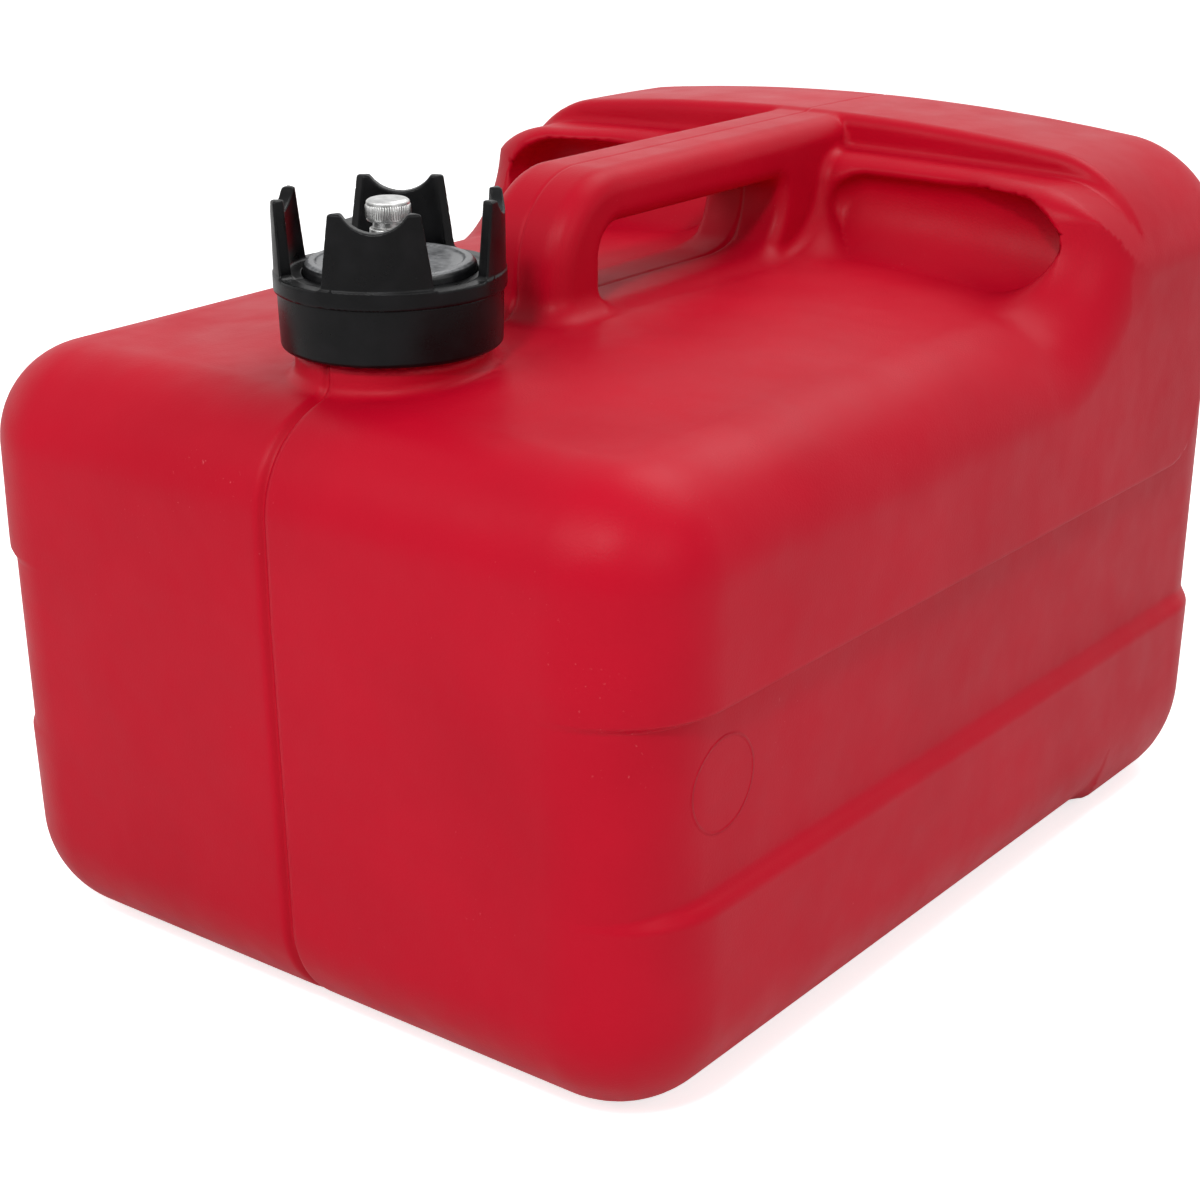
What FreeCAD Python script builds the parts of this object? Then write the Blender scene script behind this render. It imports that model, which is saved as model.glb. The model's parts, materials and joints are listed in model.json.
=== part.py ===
"""Portable outboard fuel tank of about 12 litres.

A blow-moulded tank with a carrying handle, a filler cap with a castle-shaped grip and a vent screw in
its middle, and a fuel pickup that screws to the deck beside the handle.

Frame: X across the tank, Y along it with the filler end at -Y and the raised block at +Y, Z up.
The origin is on the ground under the middle of the tank. All sizes are in millimetres.
"""

import FreeCAD, Part
import math
import os
import re

import Sketcher

Vector = FreeCAD.Vector

# Driving sizes. Each has its own name, and everything else is worked out from them.
SIZES = {
    # outside of the moulded tank
    "tank_width": 240.0,
    "tank_length": 322.0,
    "deck_height": 172.0,
    "block_height": 216.6,
    "corner_radius": 31.0,
    "deck_edge_radius": 28.0,
    "base_edge_radius": 30.0,
    "wall": 3.2,
    # gentle crown of the deck between the side edges
    "deck_crown": 5.6,
    "deck_crown_width": 190.0,
    "deck_crown_front": 132.0,
    "deck_crown_fade": 84.0,
    # brow: the step that sweeps up from the deck to the ledge in front of the block
    "ledge_height": 206.0,
    "brow_start": 38.0,
    "brow_sweep_radius": 21.0,
    "brow_nose_radius": 14.0,
    "brow_slope": 80.0,
    "ledge_edge_radius": 27.0,
    # block behind the ledge
    "block_front": 84.0,
    "block_crown": 9.0,
    "block_shoulder_radius": 33.0,
    "block_front_edge": 4.0,
    # recessed pocket each side of the handle pillar
    "pocket_inner": 17.0,
    "pocket_outer": 101.0,
    "pocket_wall": 77.0,
    "pocket_roof": 201.0,
    "pocket_sweep_radius": 20.0,
    "pocket_corner_radius": 15.0,
    "pocket_edge_radius": 5.0,
    # band round the sides, set in from the panel above and the foot band below
    "band_depth": 3.7,
    "band_low": 64.5,
    "band_high": 113.5,
    "band_bevel": 3.2,
    "panel_rear": 150.0,
    "panel_top": 190.0,
    "panel_corner_radius": 14.0,
    # handle along the middle of the deck
    "handle_width": 31.0,
    "handle_height": 215.8,
    "handle_front": 61.0,
    "handle_front_lean": 4.0,
    "handle_front_radius": 24.0,
    "handle_edge_radius": 7.0,
    "window_front": 40.0,
    "window_back": 50.0,
    "window_roof": 201.0,
    "window_floor_sunk": 0.5,
    "window_front_radius": 9.0,
    "window_foot_radius": 6.0,
    "window_back_radius": 2.0,
    "window_sweep_radius": 21.0,
    "window_edge_radius": 4.0,
    # filler neck
    "neck_from_front": 51.0,
    "neck_bore": 20.4,
    "neck_wall": 3.4,
    "neck_collar_radius": 25.4,
    "neck_collar_height": 8.0,
    # filler cap
    "cap_radius": 29.2,
    "cap_wall": 3.2,
    "cap_skirt_height": 15.2,
    "cap_roof": 3.0,
    "cap_above_collar": 0.6,
    "grip_radius": 29.8,
    "grip_wall": 3.6,
    "grip_floor": 4.0,
    "grip_fit": 0.05,
    "lug_height": 19.5,
    "lug_gap_base": 19.4,
    "lug_gap_top": 22.8,
    "lug_turn": -57.0,
    "lug_scoop_depth": 4.6,
    "lug_scoop_radius": 12.3,
    # hub disc in the middle of the grip
    "hub_radius": 22.4,
    "hub_top": 6.8,
    "hub_rim": 1.4,
    "gasket_thickness": 1.8,
    "gasket_width": 4.6,
    # vent in the middle of the hub
    "vent_seat_radius": 4.9,
    "vent_seat_rise": 8.0,
    "vent_seat_tail": 1.0,
    "vent_seat_flange": 6.6,
    "vent_seat_flange_thickness": 1.2,
    "vent_bore": 2.6,
    "vent_fit": 0.08,
    "vent_head_radius": 5.9,
    "vent_head_height": 5.6,
    "vent_neck_radius": 4.0,
    "vent_neck_height": 1.9,
    "vent_stem_radius": 2.5,
    "vent_tail": 3.2,
    "vent_rise": 2.5,
    "vent_ring_section": 0.9,
    "vent_ring_fit": 0.06,
    "vent_nut_width": 12.0,
    "vent_nut_height": 4.0,
    "vent_groove_radius": 1.75,
    "vent_clip_radius": 4.0,
    "vent_clip_thickness": 0.8,
    # fuel outlet on the deck beside the handle
    "outlet_x": -66.0,
    "outlet_y": -48.0,
    "outlet_pad_radius": 17.5,
    "outlet_pad_height": 5.5,
    "outlet_flange_radius": 17.0,
    "outlet_flange_thickness": 3.4,
    "outlet_bore": 8.5,
    "outlet_tower_radius": 8.0,
    "outlet_tower_height": 12.4,
    "outlet_tower_bevel": 1.2,
    "outlet_socket_roof": 0.6,
    "outlet_boss_wall": 0.9,
    "outlet_boss_stand": 1.0,
    "outlet_gasket_thickness": 1.5,
    "outlet_screw_circle": 12.6,
    "outlet_screw_radius": 1.6,
    "outlet_screw_head_radius": 2.9,
    "outlet_screw_head_height": 2.0,
    "outlet_screw_length": 9.0,
    "outlet_screw_fit": 0.15,
    "insert_radius": 2.6,
    "insert_length": 4.6,
    "pickup_radius": 4.2,
    "pickup_wall": 1.1,
    "pickup_above_floor": 6.0,
    "strainer_radius": 7.5,
    "strainer_height": 22.0,
    "strainer_wall": 1.2,
    "strainer_collar": 3.0,
    "strainer_rail": 2.0,
    "mesh_thickness": 0.5,
    "connector_hex": 11.0,
    "connector_hex_length": 5.0,
    "connector_bore": 2.0,
    "connector_radius": 4.0,
    "barb_radius": 3.4,
    "barb_length": 15.0,
    "connector_depth": 5.0,
    "connector_ring_section": 1.2,
}

# How far a cutting tool reaches past the face that it opens, and how deep a raised form is rooted.
OVERRUN = "1"
ROOT = "2 * wall"

doc = FreeCAD.newDocument("fuel_tank")
sheet = doc.addObject("Spreadsheet::Sheet", "Sizes")
for row, (alias, number) in enumerate(SIZES.items(), start=1):
    sheet.set(f"A{row}", alias)
    sheet.set(f"B{row}", str(number))
    sheet.setAlias(f"B{row}", alias)
doc.recompute()


def named(text):
    """The expression with each size written as a reference to the sheet."""
    return re.sub(r"[a-z_]+", lambda word: f"Sizes.{word[0]}" if word[0] in SIZES else word[0], text)


def value(text):
    """The number that an expression of sizes stands for."""
    plain = re.sub(r"[a-z_]+", lambda word: str(SIZES.get(word[0], word[0])), text)
    return FreeCAD.Units.Quantity(plain).Value


def bind(thing, **properties):
    """Bind properties of a document object to expressions of sizes."""
    for key, text in properties.items():
        thing.setExpression(key.replace("__", "."), named(text))


def new_body(name):
    return doc.addObject("PartDesign::Body", name)


def outline(body, name, plane, corners, lift="0"):
    """A closed outline of straight sides on an origin plane. Each corner is a pair of expressions."""
    sketch = body.newObject("Sketcher::SketchObject", name)
    origin_plane = [f for f in body.Origin.OriginFeatures if f.Role == plane][0]
    sketch.AttachmentSupport = [(origin_plane, "")]
    sketch.MapMode = "FlatFace"
    sketch.setExpression("AttachmentOffset.Base.z", named(lift))
    points = [Vector(value(u), value(v), 0) for u, v in corners]
    count = len(points)
    for i in range(count):
        sketch.addGeometry(Part.LineSegment(points[i], points[(i + 1) % count]))
    for i in range(count):
        sketch.addConstraint(Sketcher.Constraint("Coincident", i, 2, (i + 1) % count, 1))
    for i, (u, v) in enumerate(corners):
        for direction, text, number in (("DistanceX", u, points[i].x), ("DistanceY", v, points[i].y)):
            place = sketch.addConstraint(Sketcher.Constraint(direction, -1, 1, i, 1, number))
            sketch.setExpression(f"Constraints[{place}]", named(text))
    doc.recompute()
    return sketch


def rectangle(left, right, low, high):
    return [(left, low), (right, low), (right, high), (left, high)]


def pad(body, sketch, length, both_ways=False, backwards=False):
    feature = body.newObject("PartDesign::Pad", sketch.Name + "_pad")
    feature.Profile = sketch
    if both_ways:
        feature.SideType = "Symmetric"
    feature.Reversed = backwards
    bind(feature, Length=length)
    doc.recompute()
    return feature


def revolve(body, sketch):
    feature = body.newObject("PartDesign::Revolution", sketch.Name + "_turn")
    feature.Profile = sketch
    feature.ReferenceAxis = (sketch, ["V_Axis"])
    feature.Angle = 360.0
    doc.recompute()
    return feature


def round_edges(body, name, radius, chosen):
    """Round the edges of the body so far for which chosen(edge) is true."""
    base = body.Tip
    names = [f"Edge{i}" for i, edge in enumerate(base.Shape.Edges, start=1) if chosen(edge)]
    feature = body.newObject("PartDesign::Fillet", name)
    feature.Base = (base, names)
    bind(feature, Radius=radius)
    doc.recompute()
    return feature


def near(a, b):
    return abs(a - b) < 0.01


def middle(edge):
    return edge.valueAt((edge.FirstParameter + edge.LastParameter) / 2)


def along(edge, axis):
    """True for a straight edge that runs along the axis named x, y or z."""
    box = edge.BoundBox
    spans = {"x": box.XLength, "y": box.YLength, "z": box.ZLength}
    return spans.pop(axis) > 0.1 and max(spans.values()) < 0.01


def box(name, x, y, z, length, width, height):
    """A box from its lowest corner and its sides, all as expressions."""
    thing = doc.addObject("Part::Box", name)
    bind(thing, Length=length, Width=width, Height=height)
    bind(thing, Placement__Base__x=x, Placement__Base__y=y, Placement__Base__z=z)
    return thing


def join(name, things):
    thing = doc.addObject("Part::MultiFuse", name)
    thing.Shapes = things
    doc.recompute()
    return thing


def common(name, things):
    thing = doc.addObject("Part::MultiCommon", name)
    thing.Shapes = things
    doc.recompute()
    return thing


def cut(name, base, tool):
    thing = doc.addObject("Part::Cut", name)
    thing.Base = base
    thing.Tool = tool
    doc.recompute()
    return thing


# Moulded tank. The same form is made twice: as the outer skin, and inset by the wall for the hollow.
# The inset is zero for the skin.


def lower_tank(name, inset):
    """The tank up to the deck, rounded on every edge."""
    body = new_body(name)
    half_width = f"tank_width / 2 - {inset}"
    half_length = f"tank_length / 2 - {inset}"
    sides = rectangle(f"-({half_width})", half_width, f"-({half_length})", half_length)
    plan = outline(body, name + "_plan", "XY_Plane", sides, lift=inset)
    pad(body, plan, f"deck_height - 2 * {inset}")
    round_edges(body, name + "_corners", f"corner_radius - {inset}", lambda e: along(e, "z"))
    top = value(f"deck_height - {inset}")
    low = value(inset)
    round_edges(body, name + "_deck_edge", f"deck_edge_radius - {inset}", lambda e: near(middle(e).z, top))
    round_edges(body, name + "_base_edge", f"base_edge_radius - {inset}", lambda e: near(middle(e).z, low))
    return body


def deck_bulge(name, inset):
    """The shallow crown of the deck, which fades out towards the filler end and the side edges."""
    across = doc.addObject("Part::Cylinder", name + "_across")
    across_radius = "(deck_crown_width ^ 2 / 4 + deck_crown ^ 2) / (2 * deck_crown)"
    bind(across, Radius=across_radius, Height="tank_length")
    bind(across, Placement__Base__y="-tank_length / 2")
    bind(across, Placement__Base__z=f"deck_height + deck_crown - {inset} - {across_radius}")
    across.Placement.Rotation = FreeCAD.Rotation(Vector(1, 0, 0), -90)
    forward = doc.addObject("Part::Cylinder", name + "_forward")
    forward_radius = "(deck_crown_fade ^ 2 + deck_crown ^ 2) / (2 * deck_crown)"
    bind(forward, Radius=forward_radius, Height="tank_width")
    bind(forward, Placement__Base__x="-tank_width / 2")
    bind(forward, Placement__Base__y="deck_crown_fade - deck_crown_front")
    bind(forward, Placement__Base__z=f"deck_height + deck_crown - {inset} - {forward_radius}")
    forward.Placement.Rotation = FreeCAD.Rotation(Vector(0, 1, 0), 90)
    slab = box(
        name + "_slab",
        "-deck_crown_width / 2",
        "-deck_crown_front",
        f"deck_height - deck_edge_radius / 2 - {inset}",
        "deck_crown_width",
        "deck_crown_fade",
        "deck_edge_radius / 2 + deck_crown",
    )
    rear = box(
        name + "_rear_slab",
        "-deck_crown_width / 2",
        "deck_crown_fade - deck_crown_front",
        f"deck_height - deck_edge_radius / 2 - {inset}",
        "deck_crown_width",
        "deck_crown_front - deck_crown_fade + block_front",
        "deck_edge_radius / 2 + deck_crown",
    )
    faded = common(name + "_faded", [slab, across, forward])
    level = common(name + "_level", [rear, across])
    return join(name, [faded, level])


# The brow and the block start below the rounded edge of the deck.
BLOCK_FLOOR = "deck_height - deck_edge_radius - 2 * wall"


def brow(name, inset):
    """The side-to-side sweep from the deck up to the ledge, lofted through sections across the tank."""
    depth = value(inset)
    sweep = SIZES["brow_sweep_radius"] + depth
    nose = SIZES["brow_nose_radius"] - depth
    deck = SIZES["deck_height"] - depth
    ledge = SIZES["ledge_height"] - depth
    slope = math.radians(SIZES["brow_slope"])
    half_width = SIZES["tank_width"] / 2 - depth
    floor = value(f"{BLOCK_FLOOR} - {inset}")
    rise = ledge - deck
    straight = (rise - (sweep + nose) * (1 - math.cos(slope))) / math.sin(slope)
    line = []
    steps = 5
    for i in range(steps + 1):
        angle = slope * i / steps
        line.append((sweep * math.sin(angle), sweep * (1 - math.cos(angle)), angle))
    foot_y, foot_z, _ = line[-1]
    nose_y = foot_y + straight * math.cos(slope) + nose * math.sin(slope)
    for i in range(steps + 1):
        angle = slope * (1 - i / steps)
        line.append((nose_y - nose * math.sin(angle), rise - nose * (1 - math.cos(angle)), angle))
    line.append((nose_y + SIZES["block_front"] / 4, rise, 0.0))
    shift = SIZES["brow_start"]
    radius = SIZES["ledge_edge_radius"] - depth
    loops = []
    for along_y, up, _ in line:
        y = shift + along_y
        top = deck + up
        corners = [
            Vector(-half_width, y, floor),
            Vector(half_width, y, floor),
            Vector(half_width, y, top - radius),
            Vector(half_width - radius * (1 - math.sqrt(0.5)), y, top - radius * (1 - math.sqrt(0.5))),
            Vector(half_width - radius, y, top),
            Vector(-half_width + radius, y, top),
            Vector(-half_width + radius * (1 - math.sqrt(0.5)), y, top - radius * (1 - math.sqrt(0.5))),
            Vector(-half_width, y, top - radius),
        ]
        edges = [
            Part.LineSegment(corners[0], corners[1]).toShape(),
            Part.LineSegment(corners[1], corners[2]).toShape(),
            Part.Arc(corners[2], corners[3], corners[4]).toShape(),
            Part.LineSegment(corners[4], corners[5]).toShape(),
            Part.Arc(corners[5], corners[6], corners[7]).toShape(),
            Part.LineSegment(corners[7], corners[0]).toShape(),
        ]
        loops.append(Part.Wire(edges))
    thing = doc.addObject("Part::Feature", name)
    thing.Shape = Part.makeLoft(loops, True, True)
    return thing


def block(name, inset):
    """The straight-sided block behind the ledge, and the round bar that crowns it."""
    body = new_body(name)
    half_width = f"tank_width / 2 - {inset}"
    front_shape = outline(
        body,
        name + "_section",
        "XZ_Plane",
        rectangle(f"-({half_width})", half_width, BLOCK_FLOOR, f"block_height - {inset}"),
        lift=f"{inset} - tank_length / 2",
    )
    pad(body, front_shape, f"tank_length / 2 - block_front - 2 * {inset}")
    crown_radius = "(tank_width ^ 2 / 4 + block_crown ^ 2) / (2 * block_crown)"
    crown = doc.addObject("Part::Cylinder", name + "_crown")
    bind(crown, Radius=f"{crown_radius} - {inset}", Height="tank_length")
    bind(crown, Placement__Base__y="-tank_length / 2", Placement__Base__z=f"block_height - {crown_radius}")
    crown.Placement.Rotation = FreeCAD.Rotation(Vector(1, 0, 0), -90)
    return body, crown


def block_solid(name, inset):
    """The raised block behind the ledge, crowned on top, with rounded shoulders and a rounded rear."""
    body, crown = block(name, inset)
    crowned = common(name + "_crowned", [body, crown])
    half_width = value(f"tank_width / 2 - {inset}")
    rear = value(f"tank_length / 2 - {inset}")
    front = value(f"block_front + {inset}")
    floor = value(BLOCK_FLOOR)
    shape = crowned.Shape
    side_edges = [e for e in shape.Edges if near(abs(middle(e).x), half_width) and along(e, "y")]
    shoulders = [e for e in side_edges if not near(middle(e).z, floor)]
    shape = shape.makeFillet(value(f"block_shoulder_radius - {inset}"), shoulders)
    raised = [e for e in shape.Edges if not near(middle(e).z, floor)]
    rear_edges = [e for e in raised if near(e.BoundBox.YMin, rear)]
    shape = shape.makeFillet(value(f"corner_radius - {inset}"), rear_edges)
    raised = [e for e in shape.Edges if not near(middle(e).z, floor)]
    front_edges = [e for e in raised if near(e.BoundBox.YMax, front)]
    if value(inset) == 0:
        shape = shape.makeFillet(value("block_front_edge"), front_edges)
    thing = doc.addObject("Part::Feature", name + "_rounded")
    thing.Shape = shape
    return thing


def side_band(name, inset):
    """What is cut from the sides: the band above the foot band, and the strip behind the panel."""
    depth = value(inset)
    radius = SIZES["corner_radius"] - depth
    half_length = SIZES["tank_length"] / 2 - depth
    full_width = SIZES["tank_width"] / 2 - depth
    low = SIZES["band_low"] - depth
    loops = []
    core = [
        (low - SIZES["band_bevel"], full_width),
        (low, full_width - SIZES["band_depth"]),
        (SIZES["panel_top"] + depth, full_width - SIZES["band_depth"]),
    ]
    for height, half_width in core:
        plan = Part.makePolygon(
            [
                Vector(-half_width, -half_length, height),
                Vector(half_width, -half_length, height),
                Vector(half_width, half_length, height),
                Vector(-half_width, half_length, height),
                Vector(-half_width, -half_length, height),
            ]
        )
        loops.append(rounded_loop(plan, radius))
    keep = doc.addObject("Part::Feature", name + "_core")
    keep.Shape = Part.makeLoft(loops, True, True)
    body = new_body(name)
    rear = f"tank_length / 2 + {OVERRUN}"
    corners = [
        (f"-({rear})", f"band_low - {inset} - band_bevel"),
        (rear, f"band_low - {inset} - band_bevel"),
        (rear, f"panel_top + {inset}"),
        (f"panel_rear - {inset}", f"panel_top + {inset}"),
        (f"panel_rear - {inset}", f"band_high + {inset}"),
        (f"-({rear})", f"band_high + {inset}"),
    ]
    side = outline(body, name + "_side", "YZ_Plane", corners)
    pad(body, side, f"tank_width + {OVERRUN}", both_ways=True)
    inner_y = value(f"panel_rear - {inset}")
    inner_z = value(f"band_high + {inset}")
    round_edges(
        body,
        name + "_panel_corner",
        f"panel_corner_radius + {inset}",
        lambda e: along(e, "x") and near(middle(e).y, inner_y) and near(middle(e).z, inner_z),
    )
    return cut(name + "_tool", body, keep)


def rounded_loop(polygon, radius):
    """A flat four-sided wire with its corners rounded."""
    points = [vertex.Point for vertex in polygon.Vertexes]
    edges = []
    count = len(points)
    for i, corner in enumerate(points):
        before = (points[i - 1] - corner).normalize()
        after = (points[(i + 1) % count] - corner).normalize()
        start = corner + before * radius
        end = corner + after * radius
        centre = start + after * radius
        mid = centre - (before + after).normalize() * radius
        edges.append(Part.Arc(start, mid, end).toShape())
        following = points[(i + 1) % count]
        edges.append(Part.LineSegment(end, following - after * radius).toShape())
    return Part.Wire(edges)


def pocket(name, grow):
    """The recess beside the handle pillar, on the +X side, larger all round by grow."""
    body = new_body(name)
    section = outline(
        body,
        name + "_side",
        "YZ_Plane",
        rectangle(
            "brow_start - pocket_sweep_radius",
            f"pocket_wall + {grow}",
            f"deck_height - {grow}",
            f"pocket_roof + {grow}",
        ),
        lift=f"pocket_inner - {grow}",
    )
    pad(body, section, f"pocket_outer - pocket_inner + 2 * {grow}")
    wall_y = value(f"pocket_wall + {grow}")
    floor = value(f"deck_height - {grow}")
    roof = value(f"pocket_roof + {grow}")
    outer = value(f"pocket_outer + {grow}")
    round_edges(
        body,
        name + "_corner",
        f"pocket_corner_radius + {grow}",
        lambda e: along(e, "y") and near(middle(e).z, roof) and near(middle(e).x, outer),
    )
    round_edges(
        body,
        name + "_sweep",
        f"pocket_sweep_radius + {grow}",
        lambda e: along(e, "x") and near(middle(e).y, wall_y) and near(middle(e).z, floor),
    )
    round_edges(
        body,
        name + "_edges",
        f"pocket_edge_radius + {grow}",
        lambda e: along(e, "x") and near(middle(e).y, wall_y) and near(middle(e).z, roof),
    )
    return body


def mirrored(name, thing):
    other = doc.addObject("Part::Mirroring", name)
    other.Source = thing
    other.Normal = Vector(1, 0, 0)
    doc.recompute()
    return other


def tank_form(name, inset):
    """The whole moulding without its handle and neck, at a depth below the skin."""
    masses = [
        lower_tank(name + "_lower", inset),
        brow(name + "_brow", inset),
        block_solid(name + "_block", inset),
    ]
    mass = join(name + "_mass", masses)
    near_pocket = pocket(name + "_pocket", inset)
    far_pocket = mirrored(name + "_far_pocket", near_pocket)
    cut_out = join(name + "_cut_out", [near_pocket, far_pocket, side_band(name + "_band", inset)])
    carved = cut(name + "_carved", mass, cut_out)
    return join(name + "_form", [carved, deck_bulge(name + "_bulge", inset)])


# The floor of the window lies just under the crown of the deck, so that the deck shows in it.
WINDOW_FLOOR = "deck_height + deck_crown - window_floor_sunk"


def handle():
    """The carrying handle: front leg, bar and rear pillar round a window that sweeps up at the back."""
    body = new_body("handle")
    foot = "deck_height - wall"
    back = "block_front + corner_radius"
    corners = [
        ("-handle_front", foot),
        (back, foot),
        (back, "handle_height"),
        ("handle_front_lean - handle_front", "handle_height"),
    ]
    pad(body, outline(body, "handle_side", "YZ_Plane", corners), "handle_width", both_ways=True)
    window = outline(
        body,
        "handle_window",
        "YZ_Plane",
        rectangle("-window_front", "window_back", WINDOW_FLOOR, "window_roof"),
    )
    opening = body.newObject("PartDesign::Pocket", "handle_window_cut")
    opening.Profile = window
    opening.Type = "ThroughAll"
    opening.SideType = "Symmetric"
    doc.recompute()
    top = SIZES["handle_height"]
    roof = SIZES["window_roof"]
    round_edges(
        body,
        "handle_nose",
        "handle_front_radius",
        lambda e: along(e, "x") and near(middle(e).z, top) and middle(e).y < 0,
    )
    corners_of_window = [
        ("front", "window_front_radius", -value("window_front"), roof),
        ("foot", "window_foot_radius", -value("window_front"), value(WINDOW_FLOOR)),
        ("back", "window_back_radius", value("window_back"), roof),
        ("sweep", "window_sweep_radius", value("window_back"), value(WINDOW_FLOOR)),
    ]
    for corner, radius, y, z in corners_of_window:
        round_edges(
            body,
            "window_" + corner,
            radius,
            lambda e: along(e, "x") and near(middle(e).y, y) and near(middle(e).z, z),
        )
    round_edges(
        body,
        "handle_edges",
        "handle_edge_radius",
        lambda e: along(e, "y") and near(middle(e).z, top),
    )
    round_edges(
        body,
        "window_edges",
        "window_edge_radius",
        lambda e: along(e, "y") and near(middle(e).z, roof),
    )
    return body


CAP_Y = "neck_from_front - tank_length / 2"
CAP_BOTTOM = "deck_height + neck_collar_height + cap_above_collar"
CAP_TOP = f"{CAP_BOTTOM} + cap_skirt_height"
NECK_TOP = f"{CAP_TOP} - cap_roof - gasket_thickness"
HUB_TOP = f"{CAP_TOP} + hub_top"


def on_cap_axis(body):
    bind(body, Placement__Base__y=CAP_Y)
    return body


def turned(name, corners):
    """A body turned about its upright axis from an outline of radius and height."""
    body = new_body(name)
    revolve(body, outline(body, name + "_profile", "XZ_Plane", corners))
    return body


def round_bar(name, x, y, low, high, radius):
    """A plain upright cylinder between two heights."""
    thing = doc.addObject("Part::Cylinder", name)
    bind(thing, Radius=radius, Height=f"({high}) - ({low})")
    bind(thing, Placement__Base__x=x, Placement__Base__y=y, Placement__Base__z=low)
    return thing


OUTLET_TOP = "deck_height + outlet_pad_height"
FLANGE_LOW = f"{OUTLET_TOP} + outlet_gasket_thickness"
FLANGE_TOP = f"{FLANGE_LOW} + outlet_flange_thickness"
SCREW_PLACES = [(1, 0), (0, 1), (-1, 0), (0, -1)]


def outlet_bar(name, low, high, radius):
    """A plain upright cylinder on the outlet's axis."""
    return round_bar(name, "outlet_x", "outlet_y", low, high, radius)


def screw_bars(name, low, high, radius):
    """Four upright cylinders at the outlet's screw places."""
    bars = []
    for i, (side_x, side_y) in enumerate(SCREW_PLACES):
        x = f"outlet_x + {side_x} * outlet_screw_circle"
        y = f"outlet_y + {side_y} * outlet_screw_circle"
        bars.append(round_bar(f"{name}_{i}", x, y, low, high, radius))
    return bars


def tank_shell():
    """The blow-moulded tank: hollow, with its handle, filler neck and outlet pad."""
    skin = tank_form("skin", "0")
    inside = tank_form("inside", "wall")
    neck = on_cap_axis(
        turned(
            "neck",
            [
                ("0", f"deck_height - {ROOT}"),
                ("neck_collar_radius", f"deck_height - {ROOT}"),
                ("neck_collar_radius", "deck_height + neck_collar_height"),
                ("neck_bore + neck_wall", "deck_height + neck_collar_height"),
                ("neck_bore + neck_wall", NECK_TOP),
                ("0", NECK_TOP),
            ],
        )
    )
    outlet_pad = outlet_bar("outlet_pad", f"deck_height - {ROOT}", OUTLET_TOP, "outlet_pad_radius")
    outside = join("tank_outside", [skin, handle(), neck, outlet_pad])
    below = f"deck_height - {ROOT} - {OVERRUN}"
    filler_bore = round_bar("filler_bore", "0", CAP_Y, below, f"{NECK_TOP} + {OVERRUN}", "neck_bore")
    outlet_hole = outlet_bar("outlet_hole", below, f"{OUTLET_TOP} + {OVERRUN}", "outlet_bore")
    insert_floor = f"{OUTLET_TOP} - insert_length"
    insert_holes = screw_bars("insert_hole", insert_floor, f"{OUTLET_TOP} + {OVERRUN}", "insert_radius")
    hollow = join("tank_hollow", [inside, filler_bore, outlet_hole] + insert_holes)
    return cut("tank_shell", outside, hollow)


def hex_bar(body, name, low, width, length):
    """A six-sided bar with a given width across its flats."""
    point = f"{width} / sqrt(3)"
    shoulder = f"{width} / sqrt(12)"
    corners = [
        (point, "0"),
        (shoulder, f"{width} / 2"),
        (f"-{shoulder}", f"{width} / 2"),
        (f"-{point}", "0"),
        (f"-{shoulder}", f"-{width} / 2"),
        (shoulder, f"-{width} / 2"),
    ]
    return pad(body, outline(body, name, "XY_Plane", corners, lift=low), length)


def cap_closure():
    """The threaded inner cap: a skirt over the neck and a roof that presses on the gasket."""
    return on_cap_axis(
        turned(
            "cap_closure",
            [
                ("vent_seat_radius + vent_fit", f"{CAP_TOP} - cap_roof"),
                ("cap_radius - cap_wall", f"{CAP_TOP} - cap_roof"),
                ("cap_radius - cap_wall", CAP_BOTTOM),
                ("cap_radius", CAP_BOTTOM),
                ("cap_radius", CAP_TOP),
                ("vent_seat_radius + vent_fit", CAP_TOP),
            ],
        )
    )


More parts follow.
